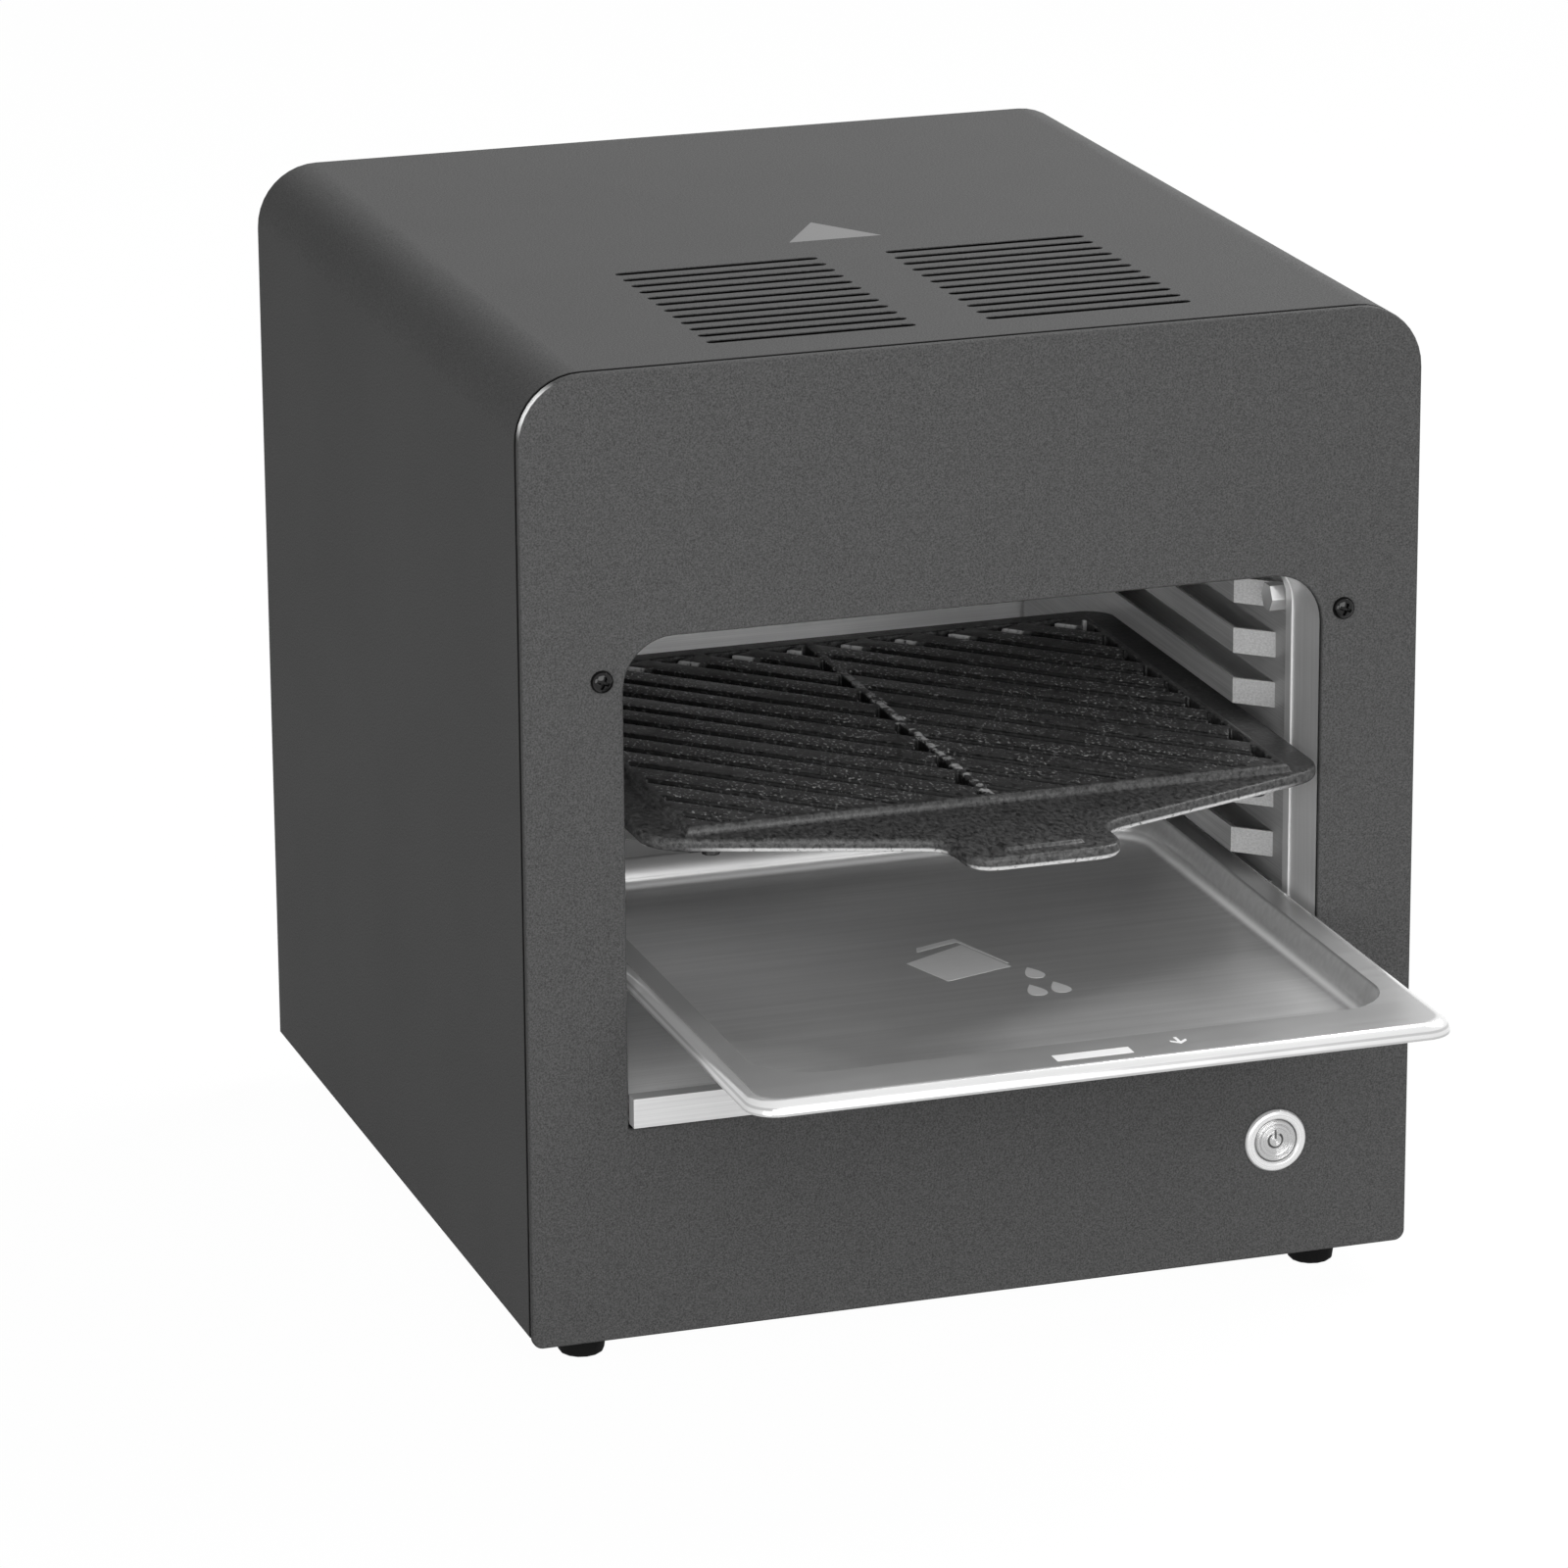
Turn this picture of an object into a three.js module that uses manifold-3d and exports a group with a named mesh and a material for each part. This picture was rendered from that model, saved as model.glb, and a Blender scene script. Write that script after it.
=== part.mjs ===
// A countertop infrared steak grill: a folded steel cabinet with a lined cooking chamber, bridge-formed
// runner racks, a ribbed cast-iron plate and a pressed drip tray that both slide out at the front.
// Millimetres. X runs left to right, Y from the front to the back, Z up, with the worktop at Z = 0.
import * as THREE from 'three';
import { mergeVertices } from 'three/addons/utils/BufferGeometryUtils.js';
import Module from 'manifold-3d';

const wasm = await Module();
wasm.setup();

// Driving dimensions
const cabinet = {
  width: 360, depth: 380, height: 396, panelLift: 14.4, cornerRadius: 25.5, bottomRadius: 4.5,
};
const sheet = { cover: 1.5, liner: 1.2, rack: 1.2, tray: 0.9 };
const clearance = { fit: 0.3, slide: 0.2, overrun: 2, weld: 0.0001 };
const panel = { thickness: 3, edgeRadius: 1.1, shadowGap: 1.2 };
const opening = { side: 39.5, bottom: 99.6, head: 103.3, radius: 20 };
const cover = { lift: 18.2, hem: 15 };
const vents = { count: 12, pitch: 10.5, width: 4.6, inner: 14, side: 83, frontInset: 31.5 };
const frame = { flange: 18, flangeBottom: 41, lift: 20 };
const rear = {
  inset: 10, flange: 12, slotWidth: 4, slotHalfLength: 30, slotPitch: 12, slotDrop: 60, slotSide: 95,
};
const rearSlotRows = 5;
const base = { flange: 20, slotWidth: 5, slotHalfLength: 40, slotPitch: 20 };
const baseSlotRows = 6;
const rail = { flange: 15 };
const trim = { thickness: 1, hemThickness: 0.8, depth: 33, hemDepth: 6 };
const sill = { proud: 5, height: 11.8, lift: 1.8, depth: 7, drop: 6 };
const chamber = { floorRise: 12.4, wallSet: 9.5, wallRise: 7.3, backInset: 41, frontGap: 2.2 };
const hood = { lip: 6, slopeRun: 30, rise: 40 };
const rack = { set: 1.5, floorGap: 6, headGap: 4.7, lead: 0.7, rearGap: 3 };
const runner = {
  pitch: 20.48, height: 10.3, firstDrop: 12.9, lowRise: 13, reach: 13, frontInset: 25.5, rearInset: 121, window: 1,
};
const rackBolt = {
  frontInset: 5.5, rearInset: 14, drop: 16, headFlats: 10, headHeight: 6, washerRadius: 5.3, shankRadius: 2.5,
};
const plate = {
  sideGap: 5.5, thickness: 5.4, edge: 1.6, stopGap: 17, pull: 100, frontGap: 20, noseRun: 34.3, cornerRadius: 14,
  rearRadius: 14, neckHalf: 40, tabReach: 31, tabHalf: 31, tabRadius: 13, panDrop: 2,
};
const ribs = {
  rise: 3.2, sideInset: 18.5, rearInset: 20, frontLead: 2.2, bead: 3.5, beadSlope: 1.4, spine: 3.2,
  pitch: 23.1, shift: 7.1, grooveTop: 4.6, grooveFloor: 2.6, grooveDepth: 6,
};
const pocketLeanShare = 0.4;
const bar = { halfWidth: 15.5, depth: 8, frontInset: 7.5, rise: 1.4 };
const peg = { radius: 3.6, height: 2.6, sideInset: 26.5, frontInset: 3 };
const tray = {
  sideGap: 4, height: 5.5, stopGap: 19, pull: 145, rimRun: 5, cornerRadius: 12,
  sideFlange: 13, endFlange: 27, basinRadius: 24, basinDepth: 12, wallLean: 2.4, edgeRadius: 1.4, bendRadius: 5,
};
const trayCornerSteps = 5;
const heater = { radius: 4.2, first: 18, sideGap: 24, rise: 18, frontInset: 39.8, backInset: 31, tail: 16 };
const heaterLegs = 4;
const heaterTurnSteps = 6;
const bracket = { thickness: 2, sideInset: 8, drop: 9, frontInset: 85.8, rearInset: 87 };
const bushing = { radius: 6.5, flangeRadius: 9, flange: 4, reach: 7 };
const blanket = { thickness: 14, endInset: 5, floorGap: 13, headGap: 8, sideInset: 4, topInset: 6 };
const button = {
  side: 56.3, z: 63.5, bezelRadius: 12.75, bezelHeight: 2.4, boreRadius: 8.8, barrelRadius: 9.5, barrelDepth: 25,
  capDepth: 4, capRise: 1.9, capDish: 0.6, capRim: 1.5, travel: 2, bodyTail: 13, nutFlats: 24, nutHeight: 4,
  bladeWidth: 4.8, bladeThickness: 0.8, bladeLength: 8, bladeSide: 4,
};
const screw = {
  side: 31, drop: 15, headRadius: 4.4, headHeight: 3, shankRadius: 2, shankLength: 9, crossWidth: 1.1,
};
const crossReachShare = 0.58;
const foot = {
  side: 28, endInset: 30, topRadius: 11, bottomRadius: 9, edge: 1, wellRadius: 4.5, wellDepth: 4,
};
const gland = {
  side: 62, z: 62, boreRadius: 3.6, threadRadius: 7.7, flats: 20, hexHeight: 5, domeHeight: 4, tail: 11,
};
const glandNut = { flats: 20, height: 3.5 };
const terminal = { side: 94, rearInset: 72, width: 46, depth: 20, height: 17, wellRadius: 3.7, wellDepth: 6 };
const terminalWells = 3;
const thermostat = { x: 60, rearInset: 130, radius: 8, height: 9, capRadius: 11, cap: 1.6 };
const wire = { radius: 1.3, rise: 8 };
const wireSides = 6;
const wireSteps = 18;

// Levels and planes that follow from the driving dimensions
const halfWidth = cabinet.width / 2;
const frontFace = -cabinet.depth / 2;
const rearEdge = cabinet.depth / 2;
const panelBack = frontFace + panel.thickness;
const frameBack = panelBack + sheet.cover;
const coverFront = panelBack + panel.shadowGap;
const innerHalf = halfWidth - sheet.cover - clearance.fit;
const innerTop = cabinet.height - sheet.cover - clearance.fit;
const innerRadius = cabinet.cornerRadius - sheet.cover - clearance.fit;
const baseTop = cover.lift + 2 * sheet.cover;
const rearFace = rearEdge - rear.inset;
const rearInner = rearFace - sheet.cover;
const openingHalf = halfWidth - opening.side;
const openingTop = cabinet.height - opening.head;
const sillTop = opening.bottom + sill.lift + sill.height;
const floorTop = opening.bottom + chamber.floorRise;
const floorBottom = floorTop - sheet.liner;
const wallHalf = openingHalf + chamber.wallSet;
const wallOuter = wallHalf + sheet.liner;
const wallTop = openingTop + chamber.wallRise;
const hoodHalf = wallHalf - hood.slopeRun;
const hoodTop = wallTop + hood.rise + sheet.liner;
const backFace = rearEdge - chamber.backInset;
const liner = { front: panelBack + trim.depth + chamber.frontGap, back: backFace - clearance.slide };
const rackHalf = openingHalf + rack.set;
const rackTop = openingTop - rack.headGap;
const rackBottom = floorTop + rack.floorGap;
const rackFront = liner.front - rack.lead;
const rackRear = backFace - rack.rearGap;
const boltSpots = { front: rackFront + rackBolt.frontInset, rear: rackRear - rackBolt.rearInset };
const topRunner = rackTop - runner.firstDrop;
const runnerCount = 1 + Math.floor((topRunner - rackBottom - runner.lowRise) / runner.pitch);
const plateLevel = Math.ceil(runnerCount / 2);
const trayLevel = runnerCount - 1;
const runnerTop = (level) => topRunner - (level - 1) * runner.pitch;
const plateHalf = rackHalf - plate.sideGap;
const tabFront = backFace - plate.stopGap - frontFace - plate.frontGap;
const neckFront = tabFront - plate.tabReach;
const cornerFront = neckFront - plate.noseRun;
const ribHalf = plateHalf - ribs.sideInset;
const ribFront = cornerFront - ribs.frontLead;
const trayHalf = rackHalf - tray.sideGap;
const trayDepth = backFace - tray.stopGap - frontFace;
const heaterZ = wallTop + heater.rise;
const heaterTail = backFace + heater.tail;
const heaterBend = (hoodHalf - heater.sideGap - heater.first) / (2 * (heaterLegs - 1));
const buttonX = halfWidth - button.side;
const screwSpot = { x: halfWidth - screw.side, z: openingTop - screw.drop };
const footSpot = { x: halfWidth - foot.side, y: rearEdge - foot.endInset };
const glandX = gland.side - halfWidth;
const terminalSpot = { x: terminal.side - halfWidth, y: rearEdge - terminal.rearInset };
const thermostatY = rearEdge - thermostat.rearInset;

// Solid helpers
function toSolid(geometry) {
  const bare = geometry.clone();
  bare.deleteAttribute('normal');
  bare.deleteAttribute('uv');
  const merged = mergeVertices(bare, clearance.weld);
  const vertProperties = new Float32Array(merged.attributes.position.array);
  const triVerts = new Uint32Array(merged.index.array);
  return new wasm.Manifold(new wasm.Mesh({ numProp: 3, vertProperties, triVerts }));
}

function toGeometry(solid) {
  const mesh = solid.getMesh();
  const geometry = new THREE.BufferGeometry();
  geometry.setAttribute('position', new THREE.BufferAttribute(new Float32Array(mesh.vertProperties), 3));
  geometry.setIndex(new THREE.BufferAttribute(new Uint32Array(mesh.triVerts), 1));
  geometry.computeVertexNormals();
  return geometry;
}

const join = (...pieces) => toGeometry(pieces.map(toSolid).reduce((whole, piece) => whole.add(piece)));
const cut = (body, ...tools) => toGeometry(
  tools.map(toSolid).reduce((whole, tool) => whole.subtract(tool), toSolid(body)),
);
const common = (body, other) => toGeometry(toSolid(body).intersect(toSolid(other)));

function block(x0, x1, y0, y1, z0, z1) {
  const geometry = new THREE.BoxGeometry(x1 - x0, y1 - y0, z1 - z0);
  return geometry.translate((x0 + x1) / 2, (y0 + y1) / 2, (z0 + z1) / 2);
}

// A flat outline is given in (x, z) for a prism along Y, in (y, z) along X and in (x, y) along Z.
function prism(outline, axis, from, to, segments = 4) {
  const settings = { depth: to - from, bevelEnabled: false, curveSegments: segments };
  const geometry = new THREE.ExtrudeGeometry(outline, settings);
  if (axis === 'y') return geometry.rotateX(Math.PI / 2).translate(0, to, 0);
  if (axis === 'z') return geometry.translate(0, 0, from);
  const along = new THREE.Vector3(1, 0, 0);
  const basis = new THREE.Matrix4().makeBasis(new THREE.Vector3(0, 1, 0), new THREE.Vector3(0, 0, 1), along);
  return geometry.applyMatrix4(basis).translate(from, 0, 0);
}

function rod(axis, radius, from, to, a, b, segments = 10) {
  const circle = new THREE.Shape().absarc(a, b, radius, 0, 2 * Math.PI, false);
  return prism(circle, axis, from, to, segments);
}

// A turned piece: pairs of radius and height, about Z, or turned so that its height runs along another axis.
function turned(profile, axis, segments = 28) {
  const geometry = new THREE.LatheGeometry(profile.map(([r, h]) => new THREE.Vector2(r, h)), segments);
  if (axis === 'front') return geometry.rotateX(Math.PI);
  if (axis === 'x') return geometry.rotateZ(-Math.PI / 2);
  if (axis === 'z') return geometry.rotateX(Math.PI / 2);
  return geometry;
}

const hexagon = (flats, hole = 0) => {
  const corner = flats / Math.sqrt(3);
  const shape = new THREE.Shape();
  for (let i = 0; i < 6; i += 1) {
    const angle = (i * Math.PI) / 3;
    const point = [corner * Math.cos(angle), corner * Math.sin(angle)];
    if (i === 0) shape.moveTo(...point);
    else shape.lineTo(...point);
  }
  shape.closePath();
  if (hole > 0) shape.holes.push(new THREE.Path().absarc(0, 0, hole, 0, 2 * Math.PI, true));
  return shape;
};

// A rectangle with its top and bottom corners rounded by their own radii
function rounded(path, half, bottom, top, topRadius, bottomRadius) {
  const low = bottomRadius > 0;
  path.moveTo(-half + bottomRadius, bottom);
  path.lineTo(half - bottomRadius, bottom);
  if (low) path.absarc(half - bottomRadius, bottom + bottomRadius, bottomRadius, -Math.PI / 2, 0, false);
  path.lineTo(half, top - topRadius);
  path.absarc(half - topRadius, top - topRadius, topRadius, 0, Math.PI / 2, false);
  path.lineTo(-half + topRadius, top);
  path.absarc(-half + topRadius, top - topRadius, topRadius, Math.PI / 2, Math.PI, false);
  path.lineTo(-half, bottom + bottomRadius);
  if (low) path.absarc(-half + bottomRadius, bottom + bottomRadius, bottomRadius, Math.PI, 1.5 * Math.PI, false);
  return path;
}

// An upside-down U of sheet with rounded shoulders, and with inward hems at its feet where hem is over zero
function arch(half, bottom, top, radius, thickness, hem = 0) {
  const inner = half - thickness;
  const shape = new THREE.Shape();
  shape.moveTo(-half, bottom);
  if (hem > 0) shape.lineTo(-half + hem, bottom).lineTo(-half + hem, bottom + thickness);
  shape.lineTo(-inner, hem > 0 ? bottom + thickness : bottom);
  shape.lineTo(-inner, top - radius);
  shape.absarc(-half + radius, top - radius, radius - thickness, Math.PI, Math.PI / 2, true);
  shape.lineTo(half - radius, top - thickness);
  shape.absarc(half - radius, top - radius, radius - thickness, Math.PI / 2, 0, true);
  shape.lineTo(inner, hem > 0 ? bottom + thickness : bottom);
  if (hem > 0) shape.lineTo(half - hem, bottom + thickness).lineTo(half - hem, bottom);
  shape.lineTo(half, bottom);
  shape.lineTo(half, top - radius);
  shape.absarc(half - radius, top - radius, radius, 0, Math.PI / 2, false);
  shape.lineTo(-half + radius, top);
  shape.absarc(-half + radius, top - radius, radius, Math.PI / 2, Math.PI, false);
  shape.closePath();
  return shape;
}

// A folded strip: the points are its outer face and its material lies to their right
function folded(points, thickness) {
  const outer = points.map(([a, b]) => new THREE.Vector2(a, b));
  const inner = outer.map((point, i) => {
    const before = i > 0 ? point.clone().sub(outer[i - 1]).normalize() : null;
    const after = i < outer.length - 1 ? outer[i + 1].clone().sub(point).normalize() : null;
    const normals = [before, after].filter(Boolean).map((step) => new THREE.Vector2(step.y, -step.x));
    const mean = normals.reduce((sum, normal) => sum.add(normal.clone()), new THREE.Vector2()).normalize();
    return point.clone().addScaledVector(mean, thickness / mean.dot(normals[0]));
  });
  return new THREE.Shape([...outer, ...inner.reverse()]);
}

const slot = (length, width) => {
  const run = length / 2 - width / 2;
  const shape = new THREE.Shape();
  shape.moveTo(-run, -width / 2).lineTo(run, -width / 2);
  shape.absarc(run, 0, width / 2, -Math.PI / 2, Math.PI / 2, false);
  shape.lineTo(-run, width / 2);
  shape.absarc(-run, 0, width / 2, Math.PI / 2, 1.5 * Math.PI, false);
  return shape;
};

// A closed skin through rings of equal point counts, with a fan at each end
function loft(rings) {
  const count = rings[0].length;
  const positions = rings.flatMap((ring) => ring.flatMap((point) => [point.x, point.y, point.z]));
  const index = [];
  for (let r = 0; r < rings.length - 1; r += 1) {
    for (let i = 0; i < count; i += 1) {
      const next = (i + 1) % count;
      const [a, b, c, d] = [r * count + i, r * count + next, (r + 1) * count + i, (r + 1) * count + next];
      index.push(a, c, b, b, c, d);
    }
  }
  for (const [start, turn] of [[0, false], [(rings.length - 1) * count, true]]) {
    for (let i = 1; i < count - 1; i += 1) {
      const fan = [start, start + i, start + i + 1];
      index.push(...(turn ? fan.reverse() : fan));
    }
  }
  const geometry = new THREE.BufferGeometry();
  geometry.setAttribute('position', new THREE.BufferAttribute(new Float32Array(positions), 3));
  geometry.setIndex(index);
  return geometry;
}

// A path that bends only at its listed stations, so that an extrusion steps from one station to the next
class StationPath extends THREE.Curve {
  constructor(stations) {
    super();
    this.stations = stations;
  }

  getPoint(t, target = new THREE.Vector3()) {
    const last = this.stations.length - 1;
    const place = Math.min(Math.max(t, 0), 1) * last;
    const index = Math.min(Math.floor(place), last - 1);
    return target.copy(this.stations[index]).lerp(this.stations[index + 1], place - index);
  }

  getPointAt(u, target) {
    return this.getPoint(u, target);
  }

  getTangentAt(u, target) {
    return this.getTangent(u, target);
  }
}

function tube(path, radius, sides, steps) {
  const section = new THREE.Shape();
  for (let i = 0; i < sides; i += 1) {
    const angle = (2 * Math.PI * i) / sides;
    const point = [radius * Math.cos(angle), radius * Math.sin(angle)];
    if (i === 0) section.moveTo(...point);
    else section.lineTo(...point);
  }
  return new THREE.ExtrudeGeometry(section, { steps, bevelEnabled: false, extrudePath: path, curveSegments: 1 });
}

// Materials
const look = (color, roughness, metalness) => new THREE.MeshStandardMaterial({ color, roughness, metalness });
const looks = {
  coated: () => look(0x37383a, 0.62, 0.1),
  stainless: () => look(0xb9babb, 0.32, 1),
  zinc: () => look(0x9a9c9e, 0.5, 1),
  iron: () => look(0x17181a, 0.78, 0.2),
  blackSteel: () => look(0x141415, 0.4, 0.7),
  rubber: () => look(0x111112, 0.9, 0),
  ceramic: () => look(0xe4ded2, 0.6, 0),
  blanket: () => look(0xcfcabd, 0.95, 0),
  plastic: () => look(0x1d1d1f, 0.5, 0),
  heater: () => look(0x4c4a48, 0.55, 0.8),
};

// Cabinet shells
function coverGeometry() {
  const outline = arch(halfWidth, cover.lift, cabinet.height, cabinet.cornerRadius, sheet.cover, cover.hem);
  const shell = prism(outline, 'y', coverFront, rearEdge, 5);
  const outer = halfWidth - vents.side;
  const length = outer - vents.inner;
  const low = cabinet.height - sheet.cover - clearance.overrun;
  const high = cabinet.height + clearance.overrun;
  const slots = [];
  for (const side of [-1, 1]) {
    for (let i = 0; i < vents.count; i += 1) {
      const y = frontFace + vents.frontInset + i * vents.pitch;
      const x = side * (vents.inner + outer) / 2;
      slots.push(prism(slot(length, vents.width), 'z', low, high, 2).translate(x, y, 0));
    }
  }
  return cut(shell, ...slots);
}

function panelGeometry() {
  const outline = rounded(
    new THREE.Shape(), halfWidth, cabinet.panelLift, cabinet.height, cabinet.cornerRadius, cabinet.bottomRadius,
  );
  outline.holes.push(rounded(new THREE.Path(), openingHalf, opening.bottom, openingTop, opening.radius, 0));
  const edge = panel.edgeRadius;
  const slab = new THREE.ExtrudeGeometry(outline, {
    depth: panel.thickness, bevelThickness: edge, bevelSize: edge, bevelOffset: -edge,
    bevelSegments: 2, curveSegments: 5,
  });
  slab.rotateX(Math.PI / 2).translate(0, frontFace + edge + panel.thickness, 0);
  const behind = panelBack + panel.thickness + 2 * edge;
  const spare = block(-halfWidth, halfWidth, panelBack, behind, 0, cabinet.height + clearance.overrun)
    .scale(1 + panel.edgeRadius / halfWidth, 1, 1);
  const holeFrom = frontFace - clearance.overrun;
  const barrel = rod('y', button.barrelRadius + clearance.fit, holeFrom, behind, buttonX, button.z);
  const shanks = [-1, 1].map((side) => rod(
    'y', screw.shankRadius + clearance.fit, holeFrom, behind, side * screwSpot.x, screwSpot.z, 6,
  ));
  return cut(slab, spare, barrel, ...shanks);
}

function frameGeometry() {
  const outline = rounded(new THREE.Shape(), innerHalf, frame.lift, innerTop, innerRadius, cabinet.bottomRadius);
  const half = openingHalf + trim.thickness + 2 * clearance.fit;
  outline.holes.push(rounded(
    new THREE.Path(), half, opening.bottom, openingTop + trim.thickness + 2 * clearance.fit, opening.radius, 0,
  ));
  const plateSheet = prism(outline, 'y', panelBack, frameBack);
  const hoop = arch(innerHalf, frame.flangeBottom, innerTop, innerRadius, sheet.cover);
  const flange = prism(hoop, 'y', panelBack, frameBack + frame.flange);
  const from = panelBack - clearance.overrun;
  const to = frameBack + clearance.overrun;
  const barrel = rod('y', button.barrelRadius + clearance.fit, from, to, buttonX, button.z);
  const shanks = [-1, 1].map((side) => rod(
    'y', screw.shankRadius + clearance.fit, from, to, side * screwSpot.x, screwSpot.z, 6,
  ));
  return cut(join(plateSheet, flange), barrel, ...shanks);
}

function rearGeometry() {
  const outline = rounded(
    new THREE.Shape(), innerHalf, baseTop + clearance.fit, innerTop, innerRadius, cabinet.bottomRadius,
  );
  const face = prism(outline, 'y', rearInner, rearFace);
  const hoop = arch(innerHalf, frame.flangeBottom, innerTop, innerRadius, sheet.cover);
  const flange = prism(hoop, 'y', rearInner - rear.flange, rearFace);
  const from = rearInner - clearance.overrun;
  const to = rearFace + clearance.overrun;
  const slots = [];
  for (const side of [-1, 1]) {
    for (let i = 0; i < rearSlotRows; i += 1) {
      const z = cabinet.height - rear.slotDrop - i * rear.slotPitch;
      const line = slot(2 * rear.slotHalfLength, rear.slotWidth);
      slots.push(prism(line, 'y', from, to, 2).translate(side * (halfWidth - rear.slotSide), 0, z));
    }
  }
  const inlet = rod('y', gland.threadRadius + clearance.fit, from, to, glandX, gland.z);
  return cut(join(face, flange), inlet, ...slots);
}

function baseGeometry() {
  const half = halfWidth - sheet.cover - 2 * clearance.fit;
  const bottom = cover.lift + sheet.cover;
  const front = frameBack + clearance.slide;
  const back = rearInner - clearance.slide;
  const top = bottom + base.flange;
  const channel = folded([[front, top], [front, bottom], [back, bottom], [back, top]].reverse(), sheet.cover);
  const pan = prism(channel, 'x', -half, half);
  const slots = [];
  for (const side of [-1, 1]) {
    for (let i = 0; i < baseSlotRows; i += 1) {
      const y = (i - (baseSlotRows - 1) / 2) * base.slotPitch;
      const line = slot(2 * base.slotHalfLength, base.slotWidth);
      const z = bottom - clearance.overrun;
      const x = side * (base.slotHalfLength + base.slotPitch);
      slots.push(prism(line, 'z', z, z + sheet.cover + 2 * clearance.overrun, 2).translate(x, y, 0));
    }
  }
  return cut(pan, ...slots);
}

function railGeometry(side) {
  const web = side * (wallHalf - clearance.fit);
  const lip = web - side * rail.flange;
  const ordered = [[lip, baseTop], [web, baseTop], [web, floorBottom], [lip, floorBottom]];
  const points = side > 0 ? ordered.reverse() : ordered;
  return prism(folded(points, sheet.cover), 'y', frameBack + frame.flange, rearInner - rear.flange);
}

// Opening trim and sill
function trimGeometry() {
  const half = openingHalf + clearance.slide + trim.thickness;
  const top = openingTop + clearance.slide + trim.thickness;
  const back = panelBack + trim.depth;
  const bottom = floorBottom + clearance.fit;
  const radius = opening.radius + trim.thickness;
  const sleeve = prism(arch(half, bottom, top, radius, trim.thickness), 'y', panelBack, back);
  const thick = trim.thickness + trim.hemThickness;
  const hem = prism(arch(half, bottom, top, radius, thick), 'y', back - trim.hemDepth, back);
  return join(sleeve, hem);
}

function sillGeometry() {
  const half = openingHalf - clearance.fit;
  const front = frontFace - sill.proud;
  const bottom = sillTop - sill.height;
  const back = front + sill.depth;
  const line = [[front, bottom], [front, sillTop], [back, sillTop], [back, sillTop - sill.drop]];
  const section = folded(line, sheet.liner);
  const lip = prism(section, 'x', -half, half);
  const cheeks = [-1, 1].map((side) => {
    const outer = side * half;
    const inner = outer - side * sheet.liner;
    return block(Math.min(outer, inner), Math.max(outer, inner), front, back, bottom, sillTop);
  });
  return join(lip, ...cheeks);
}

// Chamber
function floorGeometry() {
  const wide = wallHalf - clearance.fit;
  const narrow = openingHalf - trim.hemThickness;
  const front = frontFace - sill.proud + sill.depth + clearance.fit;
  const outline = new THREE.Shape();
  outline.moveTo(-narrow, front).lineTo(narrow, front).lineTo(narrow, liner.front).lineTo(wide, liner.front);
  outline.lineTo(wide, liner.back).lineTo(-wide, liner.back).lineTo(-wide, liner.front).lineTo(-narrow, liner.front);
  outline.closePath();
  return prism(outline, 'z', floorBottom, floorTop);
}

const wallGeometry = () => block(
  0, sheet.liner, liner.front, liner.back, floorBottom, wallTop,
);

const heaterSpots = [-1, 1].flatMap((side) => [0, heaterLegs - 1].map(
  (leg) => side * (heater.first + leg * 2 * heaterBend),
));

function backGeometry() {
  const plateSheet = block(-wallOuter, wallOuter, backFace, backFace + sheet.liner, floorBottom, hoodTop);
  const from = backFace - clearance.overrun;
  const to = backFace + sheet.liner + clearance.overrun;
  const holes = heaterSpots.map((x) => rod('y', bushing.radius + clearance.fit, from, to, x, heaterZ, 7));
  return cut(plateSheet, ...holes);
}

function hoodGeometry() {
  const lipFoot = wallTop + clearance.fit;
  const shoulder = lipFoot + hood.lip;
  const points = [
    [-wallOuter, lipFoot], [-wallOuter, shoulder], [-hoodHalf, hoodTop],
    [hoodHalf, hoodTop], [wallOuter, shoulder], [wallOuter, lipFoot],
  ];
  return prism(folded(points, sheet.liner), 'y', liner.front, liner.back);
}

const baffleGeometry = () => block(
  -wallOuter, wallOuter, liner.front - clearance.slide - sheet.liner, liner.front - clearance.slide,
  openingTop + clearance.slide + trim.thickness + clearance.fit, hoodTop,
);

// A rack is one sheet whose runners are bridges: each band is pushed inwards and leaves a window behind it.
function rackGeometry(side) {
  const inner = rackHalf;
  const outer = inner + sheet.rack;
  const wall = block(inner, outer, rackFront, rackRear, rackBottom, rackTop);
  const front = rackFront + runner.frontInset;
  const rearEnd = rackRear - runner.rearInset;
  const slope = runner.reach - runner.window;
  const windows = [];
  const bands = [];
  for (let level = 1; level <= runnerCount; level += 1) {
    const top = runnerTop(level);
    const low = top - runner.height;
    windows.push(block(
      inner - clearance.overrun, outer + clearance.overrun, front - slope, rearEnd + slope, low, top,
    ));
    const crest = inner - runner.reach;
    const band = folded([
      [outer, front - slope - runner.window], [crest, front], [crest, rearEnd],
      [outer, rearEnd + slope + runner.window],
    ], sheet.rack);
    bands.push(prism(band, 'z', low, top));
  }
  const holes = Object.values(boltSpots).map((y) => prism(
    new THREE.Shape().absarc(
      y, rackTop - rackBolt.drop, rackBolt.shankRadius + clearance.fit, 0, 2 * Math.PI, false,
    ),
    'x', inner - clearance.overrun, outer + clearance.overrun, 6,
  ));
  const slab = join(cut(wall, ...windows, ...holes), ...bands);
  const keep = block(0, outer, rackFront, rackRear, rackBottom, rackTop);
  const right = common(slab, keep);
  return side > 0 ? right : mirrored(right);
}

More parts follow.
